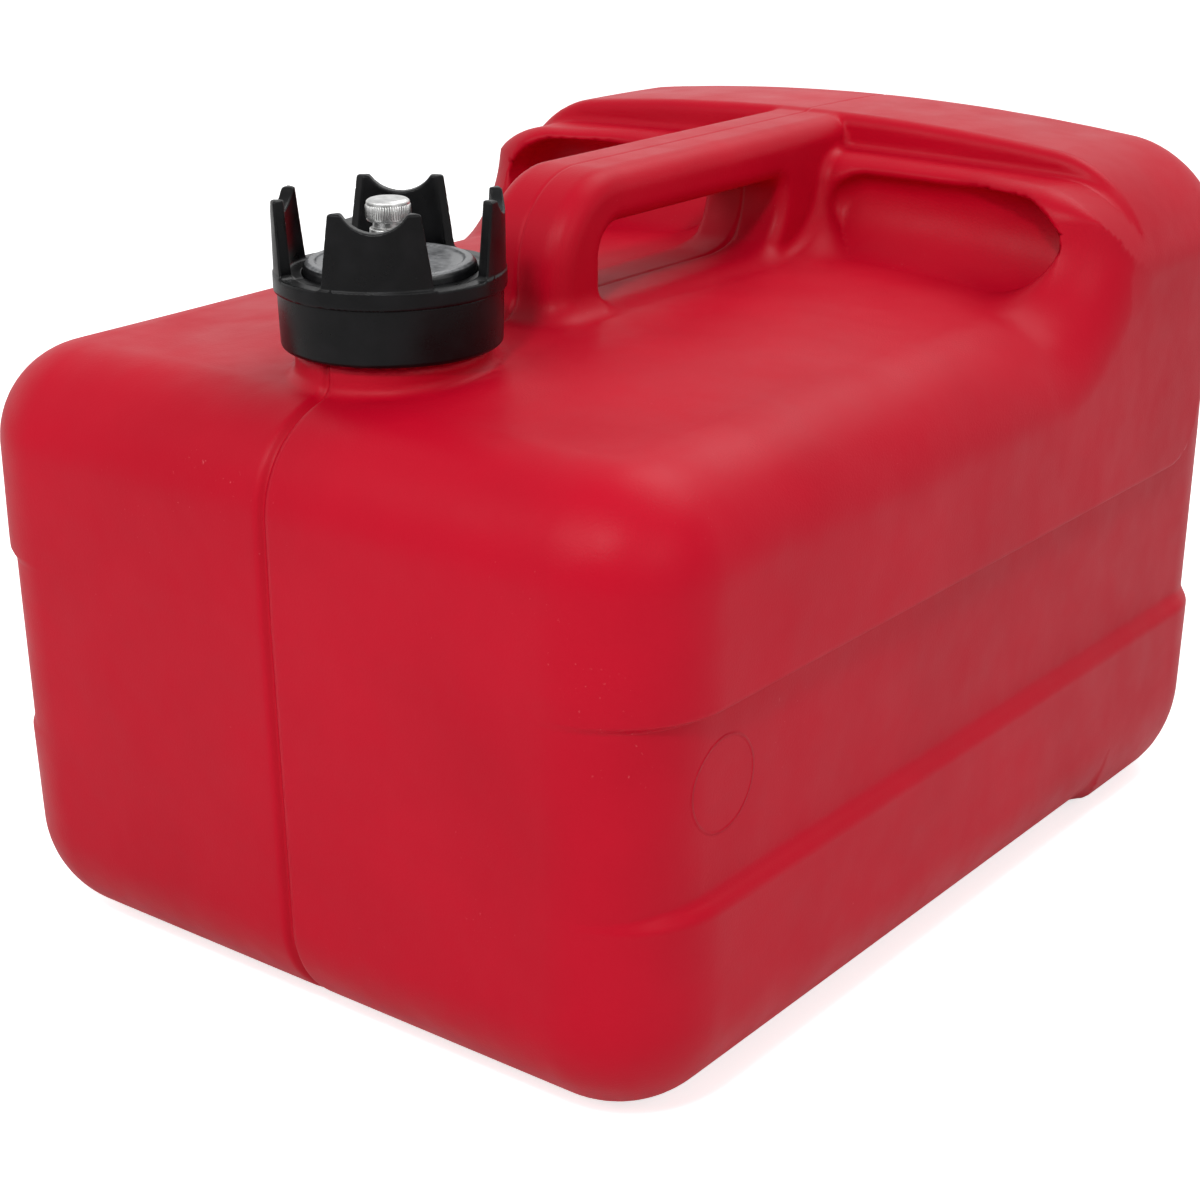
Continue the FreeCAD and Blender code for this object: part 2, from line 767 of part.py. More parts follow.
def cap_grip():
    """The castle-shaped grip: a ring with four lugs, each with a scooped top."""
    body = on_cap_axis(
        turned(
            "grip_ring",
            [
                ("hub_radius + grip_fit", CAP_TOP),
                ("grip_radius", CAP_TOP),
                ("grip_radius", f"{CAP_TOP} + grip_floor + lug_height"),
                ("grip_radius - grip_wall", f"{CAP_TOP} + grip_floor + lug_height"),
                ("grip_radius - grip_wall", f"{CAP_TOP} + grip_floor"),
                ("hub_radius + grip_fit", f"{CAP_TOP} + grip_floor"),
            ],
        )
    )
    floor = f"{CAP_TOP} + grip_floor"
    top = f"{CAP_TOP} + grip_floor + lug_height + {OVERRUN}"
    base_half = "lug_gap_base / 2"
    top_half = "lug_gap_top / 2"
    for plane in ("XZ_Plane", "YZ_Plane"):
        gap = outline(
            body,
            "lug_gap_" + plane[:2],
            plane,
            [(f"-{base_half}", floor), (base_half, floor), (top_half, top), (f"-{top_half}", top)],
        )
        feature = body.newObject("PartDesign::Pocket", "lug_gap_cut_" + plane[:2])
        feature.Profile = gap
        feature.Type = "ThroughAll"
        feature.SideType = "Symmetric"
        doc.recompute()
    bind(body, Placement__Rotation__Yaw="lug_turn - 45")
    scoops = []
    for turn in (0, 90):
        scoop = doc.addObject("Part::Cylinder", f"lug_scoop_{turn}")
        bind(scoop, Radius="lug_scoop_radius", Height="3 * grip_radius")
        angle = math.radians(value("lug_turn") + turn)
        direction = Vector(math.cos(angle), math.sin(angle), 0)
        scoop.Placement.Rotation = FreeCAD.Rotation(Vector(0, 0, 1), direction)
        bind(scoop, Placement__Base__x=f"-1.5 * grip_radius * cos(lug_turn + {turn})")
        bind(scoop, Placement__Base__y=f"{CAP_Y} - 1.5 * grip_radius * sin(lug_turn + {turn})")
        bind(scoop, Placement__Base__z=f"{floor} + lug_height - lug_scoop_depth + lug_scoop_radius")
        scoops.append(scoop)
    return cut("cap_grip", body, join("lug_scoops", scoops))


def cap_hub():
    """The disc in the middle of the grip, bored for the vent seat."""
    return on_cap_axis(
        turned(
            "cap_hub",
            [
                ("vent_seat_radius + vent_fit", CAP_TOP),
                ("hub_radius", CAP_TOP),
                ("hub_radius", f"{HUB_TOP} - hub_rim"),
                ("hub_radius - hub_rim", HUB_TOP),
                ("vent_seat_radius + vent_fit", HUB_TOP),
            ],
        )
    )


def cap_gasket():
    """The flat ring between the neck and the roof of the cap."""
    return on_cap_axis(
        turned(
            "cap_gasket",
            rectangle(
                "neck_bore + neck_wall - gasket_width",
                "neck_bore + neck_wall",
                NECK_TOP,
                f"{NECK_TOP} + gasket_thickness",
            ),
        )
    )


SEAT_LOW = f"{CAP_TOP} - cap_roof - vent_nut_height - vent_seat_tail"
SEAT_TOP = f"{HUB_TOP} + vent_seat_rise"
RING_FLOOR = f"{SEAT_TOP} - vent_ring_section - 2 * vent_ring_fit"


def vent_seat():
    """The metal tube through the hub and roof, with a flange on the hub and a recess for the seal ring."""
    recess = "vent_stem_radius + vent_ring_section + 2 * vent_ring_fit"
    return on_cap_axis(
        turned(
            "vent_seat",
            [
                ("vent_bore", SEAT_LOW),
                ("vent_seat_radius", SEAT_LOW),
                ("vent_seat_radius", HUB_TOP),
                ("vent_seat_flange", HUB_TOP),
                ("vent_seat_flange", f"{HUB_TOP} + vent_seat_flange_thickness"),
                ("vent_seat_radius", f"{HUB_TOP} + vent_seat_flange_thickness"),
                ("vent_seat_radius", SEAT_TOP),
                (recess, SEAT_TOP),
                (recess, RING_FLOOR),
                ("vent_bore", RING_FLOOR),
            ],
        )
    )


def vent_nut():
    """The hexagon nut that clamps the vent seat under the roof of the cap."""
    body = on_cap_axis(new_body("nut_blank"))
    low = f"{CAP_TOP} - cap_roof - vent_nut_height"
    hex_bar(body, "nut_flats", low, "vent_nut_width", "vent_nut_height")
    past = f"{CAP_TOP} - cap_roof + {OVERRUN}"
    bore = round_bar("nut_bore", "0", CAP_Y, f"{low} - {OVERRUN}", past, "vent_seat_radius")
    return cut("vent_nut", body, bore)


STEM_LOW = f"{SEAT_LOW} - vent_rise - vent_tail"
CLIP_TOP = f"{SEAT_LOW} - vent_rise - vent_fit"
CLIP_LOW = f"{CLIP_TOP} - vent_clip_thickness"


def vent_screw():
    """The vent's knob and stem, with a groove near its end for the clip."""
    return on_cap_axis(
        turned(
            "vent_screw",
            [
                ("0", STEM_LOW),
                ("vent_stem_radius", STEM_LOW),
                ("vent_stem_radius", f"{CLIP_LOW} - vent_fit"),
                ("vent_groove_radius", f"{CLIP_LOW} - vent_fit"),
                ("vent_groove_radius", f"{CLIP_TOP} + vent_fit / 2"),
                ("vent_stem_radius", f"{CLIP_TOP} + vent_fit / 2"),
                ("vent_stem_radius", SEAT_TOP),
                ("vent_neck_radius", SEAT_TOP),
                ("vent_neck_radius", f"{SEAT_TOP} + vent_neck_height"),
                ("vent_head_radius", f"{SEAT_TOP} + vent_neck_height"),
                ("vent_head_radius", f"{SEAT_TOP} + vent_neck_height + vent_head_height"),
                ("0", f"{SEAT_TOP} + vent_neck_height + vent_head_height"),
            ],
        )
    )


def seal_ring(name, middle_radius, section, height):
    ring = doc.addObject("Part::Torus", name)
    bind(ring, Radius1=middle_radius, Radius2=f"{section} / 2", Placement__Base__z=height)
    return ring


def vent_ring():
    """The rubber ring between the vent's stem and its seat."""
    ring = seal_ring(
        "vent_ring",
        "vent_stem_radius + vent_ring_section / 2 + vent_ring_fit",
        "vent_ring_section",
        f"{RING_FLOOR} + vent_ring_section / 2 + vent_ring_fit",
    )
    bind(ring, Placement__Base__y=CAP_Y)
    return ring


def vent_clip():
    """The clip in the stem's groove that keeps the vent screw from coming out."""
    return on_cap_axis(
        turned(
            "vent_clip",
            rectangle("vent_groove_radius + vent_fit", "vent_clip_radius", CLIP_LOW, CLIP_TOP),
        )
    )


def on_outlet_axis(thing):
    bind(thing, Placement__Base__x="outlet_x", Placement__Base__y="outlet_y")
    return thing


PICKUP_TOP = f"{FLANGE_TOP} - outlet_socket_roof"
TOWER_TOP = f"{FLANGE_TOP} + outlet_tower_height"
CONNECTOR_HEIGHT = f"{FLANGE_TOP} + outlet_tower_height / 2"
CONNECTOR_FACE = "outlet_tower_radius + outlet_boss_stand"


def on_connector_axis(thing, start):
    """Lays a piece along the connector, which leaves the tower diagonally, back and to the side."""
    bind(thing, Placement__Base__x=f"outlet_x - ({start}) / sqrt(2)")
    bind(thing, Placement__Base__y=f"outlet_y + ({start}) / sqrt(2)")
    bind(thing, Placement__Base__z=CONNECTOR_HEIGHT)
    lay_down = FreeCAD.Rotation(Vector(1, 0, 0), -90)
    thing.Placement.Rotation = FreeCAD.Rotation(Vector(0, 0, 1), 45) * lay_down
    return thing


def bar_along(name, start, length, radius):
    """A cylinder on the hose connector's axis."""
    thing = doc.addObject("Part::Cylinder", name)
    bind(thing, Radius=radius, Height=length)
    return on_connector_axis(thing, start)


def outlet_flange():
    """The round flange with a tower that turns the fuel path towards the hose connector."""
    tower = on_outlet_axis(
        turned(
            "outlet_tower",
            [
                ("0", FLANGE_LOW),
                ("outlet_flange_radius", FLANGE_LOW),
                ("outlet_flange_radius", FLANGE_TOP),
                ("outlet_tower_radius", FLANGE_TOP),
                ("outlet_tower_radius", f"{TOWER_TOP} - outlet_tower_bevel"),
                ("outlet_tower_radius - outlet_tower_bevel", TOWER_TOP),
                ("0", TOWER_TOP),
            ],
        )
    )
    boss = bar_along(
        "outlet_boss",
        "0",
        "outlet_tower_radius + outlet_boss_stand",
        "connector_radius + outlet_boss_wall",
    )
    solid = join("outlet_flange_solid", [tower, boss])
    below = f"{FLANGE_LOW} - {OVERRUN}"
    above = f"{FLANGE_TOP} + {OVERRUN}"
    socket = outlet_bar("pickup_socket", below, PICKUP_TOP, "pickup_radius")
    riser = outlet_bar("fuel_riser", FLANGE_LOW, CONNECTOR_HEIGHT, "pickup_radius - pickup_wall")
    reach = f"outlet_tower_radius + outlet_boss_stand + {OVERRUN}"
    turn = bar_along("fuel_turn", "0", reach, "connector_bore")
    connector_socket = bar_along(
        "connector_socket",
        f"{CONNECTOR_FACE} - connector_depth",
        f"connector_depth + {OVERRUN}",
        "connector_radius",
    )
    holes = screw_bars("flange_hole", below, above, "outlet_screw_radius + outlet_screw_fit")
    openings = join("outlet_flange_holes", [socket, riser, turn, connector_socket] + holes)
    return cut("outlet_flange", solid, openings)


def outlet_gasket():
    """The flat gasket between the tank's pad and the flange."""
    disc = on_outlet_axis(
        turned(
            "outlet_gasket_disc",
            rectangle("outlet_bore", "outlet_flange_radius", OUTLET_TOP, FLANGE_LOW),
        )
    )
    below = f"{OUTLET_TOP} - {OVERRUN}"
    above = f"{FLANGE_LOW} + {OVERRUN}"
    holes = screw_bars("gasket_hole", below, above, "outlet_screw_radius + outlet_screw_fit")
    return cut("outlet_gasket", disc, join("gasket_holes", holes))


def outlet_screws():
    """Four pan-head screws that hold the flange down."""
    low = f"{FLANGE_TOP} - outlet_screw_length"
    shanks = screw_bars("screw_shank", low, FLANGE_TOP, "outlet_screw_radius")
    top = f"{FLANGE_TOP} + outlet_screw_head_height"
    heads = screw_bars("screw_head", FLANGE_TOP, top, "outlet_screw_head_radius")
    return join("outlet_screws", shanks + heads)


def outlet_inserts():
    """Four metal sleeves moulded into the tank's pad, which the screws bite into."""
    sleeves = screw_bars("insert_sleeve", f"{OUTLET_TOP} - insert_length", OUTLET_TOP, "insert_radius")
    below = f"{OUTLET_TOP} - insert_length - {OVERRUN}"
    bores = screw_bars("insert_bore", below, f"{OUTLET_TOP} + {OVERRUN}", "outlet_screw_radius")
    return cut("outlet_inserts", join("insert_sleeves", sleeves), join("insert_bores", bores))


def pickup_tube():
    """The tube from the flange down to the strainer near the floor of the tank."""
    low = "wall + pickup_above_floor"
    wall = rectangle("pickup_radius - pickup_wall", "pickup_radius", low, PICKUP_TOP)
    return on_outlet_axis(turned("pickup_tube", wall))


STRAINER_LOW = "wall + pickup_above_floor / 4"
STRAINER_TOP = f"{STRAINER_LOW} + strainer_height"


def strainer_frame():
    """The cage of the strainer: a cup with a collar on the tube and four windows for the mesh."""
    body = on_outlet_axis(
        turned(
            "strainer_frame",
            [
                ("0", STRAINER_LOW),
                ("strainer_radius", STRAINER_LOW),
                ("strainer_radius", STRAINER_TOP),
                ("pickup_radius", STRAINER_TOP),
                ("pickup_radius", f"{STRAINER_TOP} - strainer_collar"),
                ("strainer_radius - strainer_wall", f"{STRAINER_TOP} - strainer_collar"),
                ("strainer_radius - strainer_wall", f"{STRAINER_LOW} + strainer_wall"),
                ("0", f"{STRAINER_LOW} + strainer_wall"),
            ],
        )
    )
    low = f"{STRAINER_LOW} + strainer_wall + strainer_rail"
    high = f"{STRAINER_TOP} - strainer_collar - strainer_rail"
    for plane in ("XZ_Plane", "YZ_Plane"):
        window = outline(
            body,
            "strainer_window_" + plane[:2],
            plane,
            rectangle("-strainer_radius / 2", "strainer_radius / 2", low, high),
        )
        feature = body.newObject("PartDesign::Pocket", "strainer_window_cut_" + plane[:2])
        feature.Profile = window
        feature.Type = "ThroughAll"
        feature.SideType = "Symmetric"
        doc.recompute()
    return body


def strainer_mesh():
    """The sleeve of mesh inside the strainer's cage, modelled as a thin tube."""
    outer = "strainer_radius - strainer_wall"
    low = f"{STRAINER_LOW} + strainer_wall"
    high = f"{STRAINER_TOP} - strainer_collar"
    return on_outlet_axis(turned("strainer_mesh", rectangle(f"{outer} - mesh_thickness", outer, low, high)))


def hose_connector():
    """The metal hose connector: a stub in the tower, a hexagon and a barb for the fuel hose."""
    body = new_body("connector_hexagon")
    hex_bar(body, "connector_flats", "0", "connector_hex", "connector_hex_length")
    on_connector_axis(body, f"{CONNECTOR_FACE} + connector_ring_section")
    stub = bar_along(
        "connector_stub",
        f"{CONNECTOR_FACE} - connector_depth",
        "connector_depth + connector_ring_section",
        "connector_radius",
    )
    stem = bar_along(
        "connector_stem",
        f"{CONNECTOR_FACE} + connector_ring_section + connector_hex_length",
        "barb_length",
        "barb_radius",
    )
    solid = join("hose_connector_pieces", [body, stub, stem])
    whole = "connector_depth + connector_ring_section + connector_hex_length + barb_length"
    bore = bar_along(
        "connector_fuel_bore",
        f"{CONNECTOR_FACE} - connector_depth - {OVERRUN}",
        f"{whole} + 2 * {OVERRUN}",
        "connector_bore",
    )
    return cut("hose_connector", solid, bore)


def connector_ring():
    """The seal ring between the tower and the connector's hexagon."""
    ring = doc.addObject("Part::Torus", "connector_ring")
    bind(ring, Radius1="connector_radius + connector_ring_section / 2", Radius2="connector_ring_section / 2")
    return on_connector_axis(ring, f"{CONNECTOR_FACE} + connector_ring_section / 2")


pieces = {
    "tank_shell": tank_shell(),
    "cap_closure": cap_closure(),
    "cap_grip": cap_grip(),
    "cap_hub": cap_hub(),
    "cap_gasket": cap_gasket(),
    "vent_seat": vent_seat(),
    "vent_nut": vent_nut(),
    "vent_screw": vent_screw(),
    "vent_ring": vent_ring(),
    "vent_clip": vent_clip(),
    "outlet_flange": outlet_flange(),
    "outlet_gasket": outlet_gasket(),
    "outlet_screws": outlet_screws(),
    "outlet_inserts": outlet_inserts(),
    "pickup_tube": pickup_tube(),
    "strainer_frame": strainer_frame(),
    "strainer_mesh": strainer_mesh(),
    "hose_connector": hose_connector(),
    "connector_ring": connector_ring(),
}
doc.recompute()

for thing in doc.Objects:
    if "Invalid" in thing.State or "Error" in thing.State:
        raise RuntimeError(f"{thing.Name} failed: {thing.State}")
for node, piece in pieces.items():
    if piece.Shape.isNull() or not piece.Shape.isValid():
        raise RuntimeError(f"{node} has no valid shape")
    piece.Label = node

os.makedirs("parts", exist_ok=True)
for node, piece in pieces.items():
    piece.Shape.exportStep(f"parts/{node}.step")
    reach = piece.Shape.BoundBox
    heights = f"z {reach.ZMin:.2f} to {reach.ZMax:.2f}"
    print(piece.Label, len(piece.Shape.Solids), round(piece.Shape.Volume), heights)
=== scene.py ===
"""Looks of a portable outboard fuel tank: a red moulded tank, a black castle-shaped filler cap with a
knurled vent screw, and a pickup fitting with a brass hose barb.

Sizes in the sections on form are in millimetres and are turned into metres where a mesh is made.
X runs across the tank, Y along it with the filler end at -Y, and Z up from the ground.
"""

import json
import math

import bpy
import bmesh
import numpy as np
from mathutils import Matrix, Vector


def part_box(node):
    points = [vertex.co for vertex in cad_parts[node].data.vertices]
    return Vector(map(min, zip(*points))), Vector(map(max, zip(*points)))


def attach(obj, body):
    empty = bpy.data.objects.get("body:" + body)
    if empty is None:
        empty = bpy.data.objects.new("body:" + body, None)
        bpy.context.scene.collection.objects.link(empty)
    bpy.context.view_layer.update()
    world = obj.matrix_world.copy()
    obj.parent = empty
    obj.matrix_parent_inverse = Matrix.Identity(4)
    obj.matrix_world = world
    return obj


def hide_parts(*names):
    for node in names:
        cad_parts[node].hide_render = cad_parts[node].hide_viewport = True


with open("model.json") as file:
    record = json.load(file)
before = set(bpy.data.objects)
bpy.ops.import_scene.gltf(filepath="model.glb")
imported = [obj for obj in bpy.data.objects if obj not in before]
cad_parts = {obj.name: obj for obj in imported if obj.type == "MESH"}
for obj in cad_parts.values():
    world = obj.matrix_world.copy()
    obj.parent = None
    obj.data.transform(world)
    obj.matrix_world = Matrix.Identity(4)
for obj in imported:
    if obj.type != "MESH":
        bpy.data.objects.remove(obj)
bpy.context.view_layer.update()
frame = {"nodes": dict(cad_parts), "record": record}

MM = 0.001


# Sizes read from the frame, in millimetres

def node_box(node):
    """Lowest and highest corner of a CAD node, in millimetres."""
    low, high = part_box(node)
    return np.array(low) / MM, np.array(high) / MM


shell_high = node_box("tank_shell")[1]
HALF_WIDTH = shell_high[0]
HALF_LENGTH = shell_high[1]
skirt_low, skirt_high = node_box("cap_closure")
CAP_Y = (skirt_low[1] + skirt_high[1]) / 2
SKIRT_RADIUS = (skirt_high[0] - skirt_low[0]) / 2
SKIRT_BOTTOM = skirt_low[2]
SKIRT_TOP = skirt_high[2]
grip_low, grip_high = node_box("cap_grip")
GRIP_RADIUS = (grip_high[0] - grip_low[0]) / 2
GRIP_TOP = grip_high[2]
hub_low, hub_high = node_box("cap_hub")
HUB_RADIUS = (hub_high[0] - hub_low[0]) / 2
HUB_TOP = hub_high[2]
gasket_low, gasket_high = node_box("cap_gasket")
NECK_RADIUS = (gasket_high[0] - gasket_low[0]) / 2
NECK_TOP = gasket_low[2]
seat_low, seat_high = node_box("vent_seat")
SEAT_BOTTOM = seat_low[2]
SEAT_TOP = seat_high[2]
knob_low, knob_high = node_box("vent_screw")
KNOB_RADIUS = (knob_high[0] - knob_low[0]) / 2
KNOB_TOP = knob_high[2]
STEM_BOTTOM = knob_low[2]
flange_low, flange_high = node_box("outlet_flange")
OUTLET_X = (flange_low[0] + flange_high[0]) / 2
FLANGE_RADIUS = (flange_high[0] - flange_low[0]) / 2
OUTLET_Y = flange_low[1] + FLANGE_RADIUS
FLANGE_BOTTOM = flange_low[2]
TOWER_TOP = flange_high[2]
seal_low = node_box("outlet_gasket")[0]
PAD_TOP = seal_low[2]
barb_low, barb_high = node_box("hose_connector")
BARB_Z = (barb_low[2] + barb_high[2]) / 2
screws_high = node_box("outlet_screws")[1]
SCREW_TOP = screws_high[2]

couplings = {c["joint"]: c["ratio"] for c in frame["record"]["behaviour"]["couplings"]}
CAP_PITCH = couplings["cap_lift"] * 2 * math.pi / MM


# Fields. A form is a function of place that is negative inside it and about the distance to its
# surface nearby, so forms can be met, blended and carved with rounded edges.

def meet(a, b, radius):
    """What is in both forms, with the edge between them rounded."""
    past_a = np.maximum(a + radius, 0)
    past_b = np.maximum(b + radius, 0)
    return np.minimum(-radius, np.maximum(a, b)) + np.hypot(past_a, past_b)


def blend(a, b, radius):
    """What is in either form, with a round fillet between them."""
    short_a = np.maximum(radius - a, 0)
    short_b = np.maximum(radius - b, 0)
    return np.maximum(radius, np.minimum(a, b)) - np.hypot(short_a, short_b)


def carve(a, b, radius):
    """The first form without the second, with a rounded rim."""
    return meet(a, -b, radius)


def rounded_rectangle(u, v, half_u, half_v, radius):
    """Distance from a rectangle with rounded corners, centred on zero."""
    past_u = np.abs(u) - half_u + radius
    past_v = np.abs(v) - half_v + radius
    outside = np.hypot(np.maximum(past_u, 0), np.maximum(past_v, 0))
    return np.minimum(np.maximum(past_u, past_v), 0) + outside - radius


def ramp(value, start, end):
    """Smooth step from 0 at start to 1 at end."""
    t = np.clip((value - start) / (end - start), 0, 1)
    return t * t * (3 - 2 * t)


# Meshing of a field on a grid of chosen lines

def grid_lines(*stretches):
    """Grid lines from stretches of (start, end, spacing)."""
    lines = []
    for start, end, spacing in stretches:
        count = max(1, round((end - start) / spacing))
        lines.extend(np.linspace(start, end, count, endpoint=False))
    lines.append(stretches[-1][1])
    return np.array(lines)


def mirrored_lines(*stretches):
    """The same lines on both sides of zero."""
    half = grid_lines(*stretches)
    return np.concatenate([-half[:0:-1], half])


def slope_of(field, points, step):
    """The field's value and its gradient at each point."""
    x, y, z = points.T
    gradient = np.stack(
        [
            field(x + step, y, z) - field(x - step, y, z),
            field(x, y + step, z) - field(x, y - step, z),
            field(x, y, z + step) - field(x, y, z - step),
        ],
        axis=1,
    ) / (2 * step)
    return field(x, y, z), gradient


def neighbours(axis, across):
    """Two indices for grid points that lie next to each other along an axis."""
    low = [across] * 3
    high = [across] * 3
    low[axis] = slice(None, -1)
    high[axis] = slice(1, None)
    return tuple(low), tuple(high)


def crossing_points(values, lines):
    """The middle of the surface's crossings in each cell it runs through, and each cell's number."""
    inside = values < 0
    total = np.zeros([n - 1 for n in values.shape] + [3])
    crossings = np.zeros([n - 1 for n in values.shape])
    for axis in range(3):
        low, high = neighbours(axis, slice(None))
        crossed = inside[low] != inside[high]
        where = np.argwhere(crossed)
        v0 = values[low][crossed]
        v1 = values[high][crossed]
        share = v0 / (v0 - v1)
        place = np.stack([lines[a][where[:, a]] for a in range(3)], axis=1)
        along = lines[axis]
        place[:, axis] += share * (along[where[:, axis] + 1] - along[where[:, axis]])
        one, two = [a for a in range(3) if a != axis]
        for back_one, back_two in ((0, 0), (0, 1), (1, 0), (1, 1)):
            cell = where.copy()
            cell[:, one] -= back_one
            cell[:, two] -= back_two
            kept = np.all((cell >= 0) & (cell < np.array(crossings.shape)), axis=1)
            cell = cell[kept]
            np.add.at(total, tuple(cell.T), place[kept])
            np.add.at(crossings, tuple(cell.T), 1)
    used = crossings > 0
    number = -np.ones(crossings.shape, dtype=int)
    number[used] = np.arange(used.sum())
    return total[used] / crossings[used][:, None], number


def surface_faces(inside, number):
    """Four-sided faces between the cells round each crossed grid edge, turned outwards."""
    faces = []
    for axis in range(3):
        one, two = (axis + 1) % 3, (axis + 2) % 3
        low, high = neighbours(axis, slice(1, -1))
        first = inside[low]
        crossed = first != inside[high]
        outward = first[crossed]
        cell = np.argwhere(crossed)
        cell[:, one] += 1
        cell[:, two] += 1
        corners = []
        for step_one, step_two in ((1, 1), (0, 1), (0, 0), (1, 0)):
            corner = cell.copy()
            corner[:, one] -= step_one
            corner[:, two] -= step_two
            corners.append(number[tuple(corner.T)])
        quads = np.stack(corners, axis=1)
        quads[~outward] = quads[~outward][:, ::-1]
        faces.append(quads)
    return np.concatenate(faces)


LEAST_SLOPE = 0.05
LONGEST_SHIFT = 1.5
TINY = 1e-9


def drawn_onto(field, points, step, rounds=4):
    """The points moved onto the field's surface, and the surface's normals there."""
    for _ in range(rounds):
        distance, gradient = slope_of(field, points, step)
        size = np.maximum((gradient**2).sum(axis=1), LEAST_SLOPE)
        shift = gradient * (distance / size)[:, None]
        length = np.linalg.norm(shift, axis=1)
        shift *= np.minimum(1, LONGEST_SHIFT / np.maximum(length, TINY))[:, None]
        points = points - shift
    gradient = slope_of(field, points, step)[1]
    return points, gradient / np.maximum(np.linalg.norm(gradient, axis=1), TINY)[:, None]


def mesh_of(field, xs, ys, zs, step=0.05):
    """Points, four-sided faces and normals of the field's surface."""
    values = field(xs[:, None, None], ys[None, :, None], zs[None, None, :])
    points, number = crossing_points(values, (xs, ys, zs))
    faces = surface_faces(values < 0, number)
    points, normals = drawn_onto(field, points, step)
    return points, faces, normals


def new_object(name, data):
    """An object in the scene."""
    thing = bpy.data.objects.new(name, data)
    bpy.context.scene.collection.objects.link(thing)
    return thing


def finish_piece(piece, body, slot, material, nodes=()):
    """Gives a piece its material, hangs it on the empty of the body it rides on, and hides the CAD nodes
    it stands for.
    """
    piece.data.materials.clear()
    piece.data.materials.append(material)
    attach(piece, body)
    if nodes:
        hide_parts(*nodes)
    return piece


def mesh_piece(name, points, faces, normals=None):
    """A smooth object from points in millimetres."""
    mesh = bpy.data.meshes.new(name)
    mesh.from_pydata([tuple(p) for p in np.asarray(points) * MM], [], [tuple(f) for f in faces])
    mesh.polygons.foreach_set("use_smooth", [True] * len(mesh.polygons))
    mesh.update()
    if normals is not None:
        mesh.normals_split_custom_set_from_vertices([tuple(n) for n in normals])
    return new_object(name, mesh)


# Materials

def new_material(name):
    """A node material with its shader and the object's own coordinates."""
    material = bpy.data.materials.new(name)
    material.use_nodes = True
    nodes = material.node_tree.nodes
    shader = nodes["Principled BSDF"]
    place = nodes.new("ShaderNodeTexCoord")
    return material, shader, place.outputs["Object"]


def add_noise(material, place, scale, detail):
    """A noise pattern on the object's own coordinates."""
    noise = material.node_tree.nodes.new("ShaderNodeTexNoise")
    noise.inputs["Scale"].default_value = scale
    noise.inputs["Detail"].default_value = detail
    material.node_tree.links.new(place, noise.inputs["Vector"])
    return noise.outputs["Fac"]


def add_range(material, value, low, high, to_low, to_high):
    """Maps a stretch of one value onto another."""
    node = material.node_tree.nodes.new("ShaderNodeMapRange")
    node.inputs["From Min"].default_value = low
    node.inputs["From Max"].default_value = high
    node.inputs["To Min"].default_value = to_low
    node.inputs["To Max"].default_value = to_high
    material.node_tree.links.new(value, node.inputs["Value"])
    return node.outputs["Result"]


def add_mix(material, share, first, second):
    """A colour between two, by a share that comes from a socket."""
    node = material.node_tree.nodes.new("ShaderNodeMix")
    node.data_type = "RGBA"
    links = material.node_tree.links
    links.new(share, node.inputs["Factor"])
    for socket, colour in ((node.inputs["A"], first), (node.inputs["B"], second)):
        if isinstance(colour, tuple):
            socket.default_value = (*colour, 1)
        else:
            links.new(colour, socket)
    return node.outputs["Result"]


def add_tone(material, value, first, second, low=0.3, high=0.7):
    """A colour that goes from the first to the second as a value goes from low to high."""
    return add_mix(material, add_range(material, value, low, high, 0.0, 1.0), first, second)


def add_math(material, operation, first, second):
    """One step of arithmetic on two numbers or sockets."""
    node = material.node_tree.nodes.new("ShaderNodeMath")
    node.operation = operation
    for socket, value in ((node.inputs[0], first), (node.inputs[1], second)):
        if isinstance(value, (int, float)):
            socket.default_value = value
        else:
            material.node_tree.links.new(value, socket)
    return node.outputs["Value"]


def add_bump(material, shader, heights):
    """Bump from a list of (height, distance in metres), one on top of another."""
    links = material.node_tree.links
    below = None
    for height, distance in heights:
        bump = material.node_tree.nodes.new("ShaderNodeBump")
        bump.inputs["Strength"].default_value = 1.0
        bump.inputs["Distance"].default_value = distance
        links.new(height, bump.inputs["Height"])
        if below is not None:
            links.new(below, bump.inputs["Normal"])
        below = bump.outputs["Normal"]
    links.new(below, shader.inputs["Normal"])


def linear(red, green, blue):
    """Linear colour from screen values of 0 to 255."""
    shares = [value / 255 for value in (red, green, blue)]
    return tuple(((s + 0.055) / 1.055) ** 2.4 if s > 0.04 else s / 12.92 for s in shares)


def red_polyethylene():
    """Satin red of the moulded tank: a fine grain, slow waves, faint cloudiness and a few pale scuffs."""
    material, shader, place = new_material("red_polyethylene")
    links = material.node_tree.links
    cloud = add_noise(material, place, 14.0, 4.0)
    tone = add_tone(material, cloud, linear(174, 3, 31), linear(186, 4, 35))
    speck = add_noise(material, place, 900.0, 2.0)
    patch = add_noise(material, place, 25.0, 3.0)
    scuffed = add_math(
        material,
        "MULTIPLY",
        add_range(material, speck, 0.70, 0.78, 0.0, 1.0),
        add_range(material, patch, 0.55, 0.75, 0.0, 0.5),
    )
    links.new(add_mix(material, scuffed, tone, linear(222, 120, 128)), shader.inputs["Base Color"])
    gloss = add_noise(material, place, 60.0, 5.0)
    links.new(add_range(material, gloss, 0.3, 0.7, 0.38, 0.48), shader.inputs["Roughness"])
    shader.inputs["IOR"].default_value = 1.5
    shader.inputs["Specular IOR Level"].default_value = 0.13
    grain = add_noise(material, place, 1600.0, 3.0)
    waves = add_noise(material, place, 45.0, 2.0)
    mark = insert_mark(material, place)
    add_bump(material, shader, [(waves, 0.0005), (grain, 0.00005), (mark, 0.0003)])
    return material


INSERT_CENTRE = (0, -0.124, 0.092)
INSERT_RADIUS = 0.0125
INSERT_LINE = 0.0006


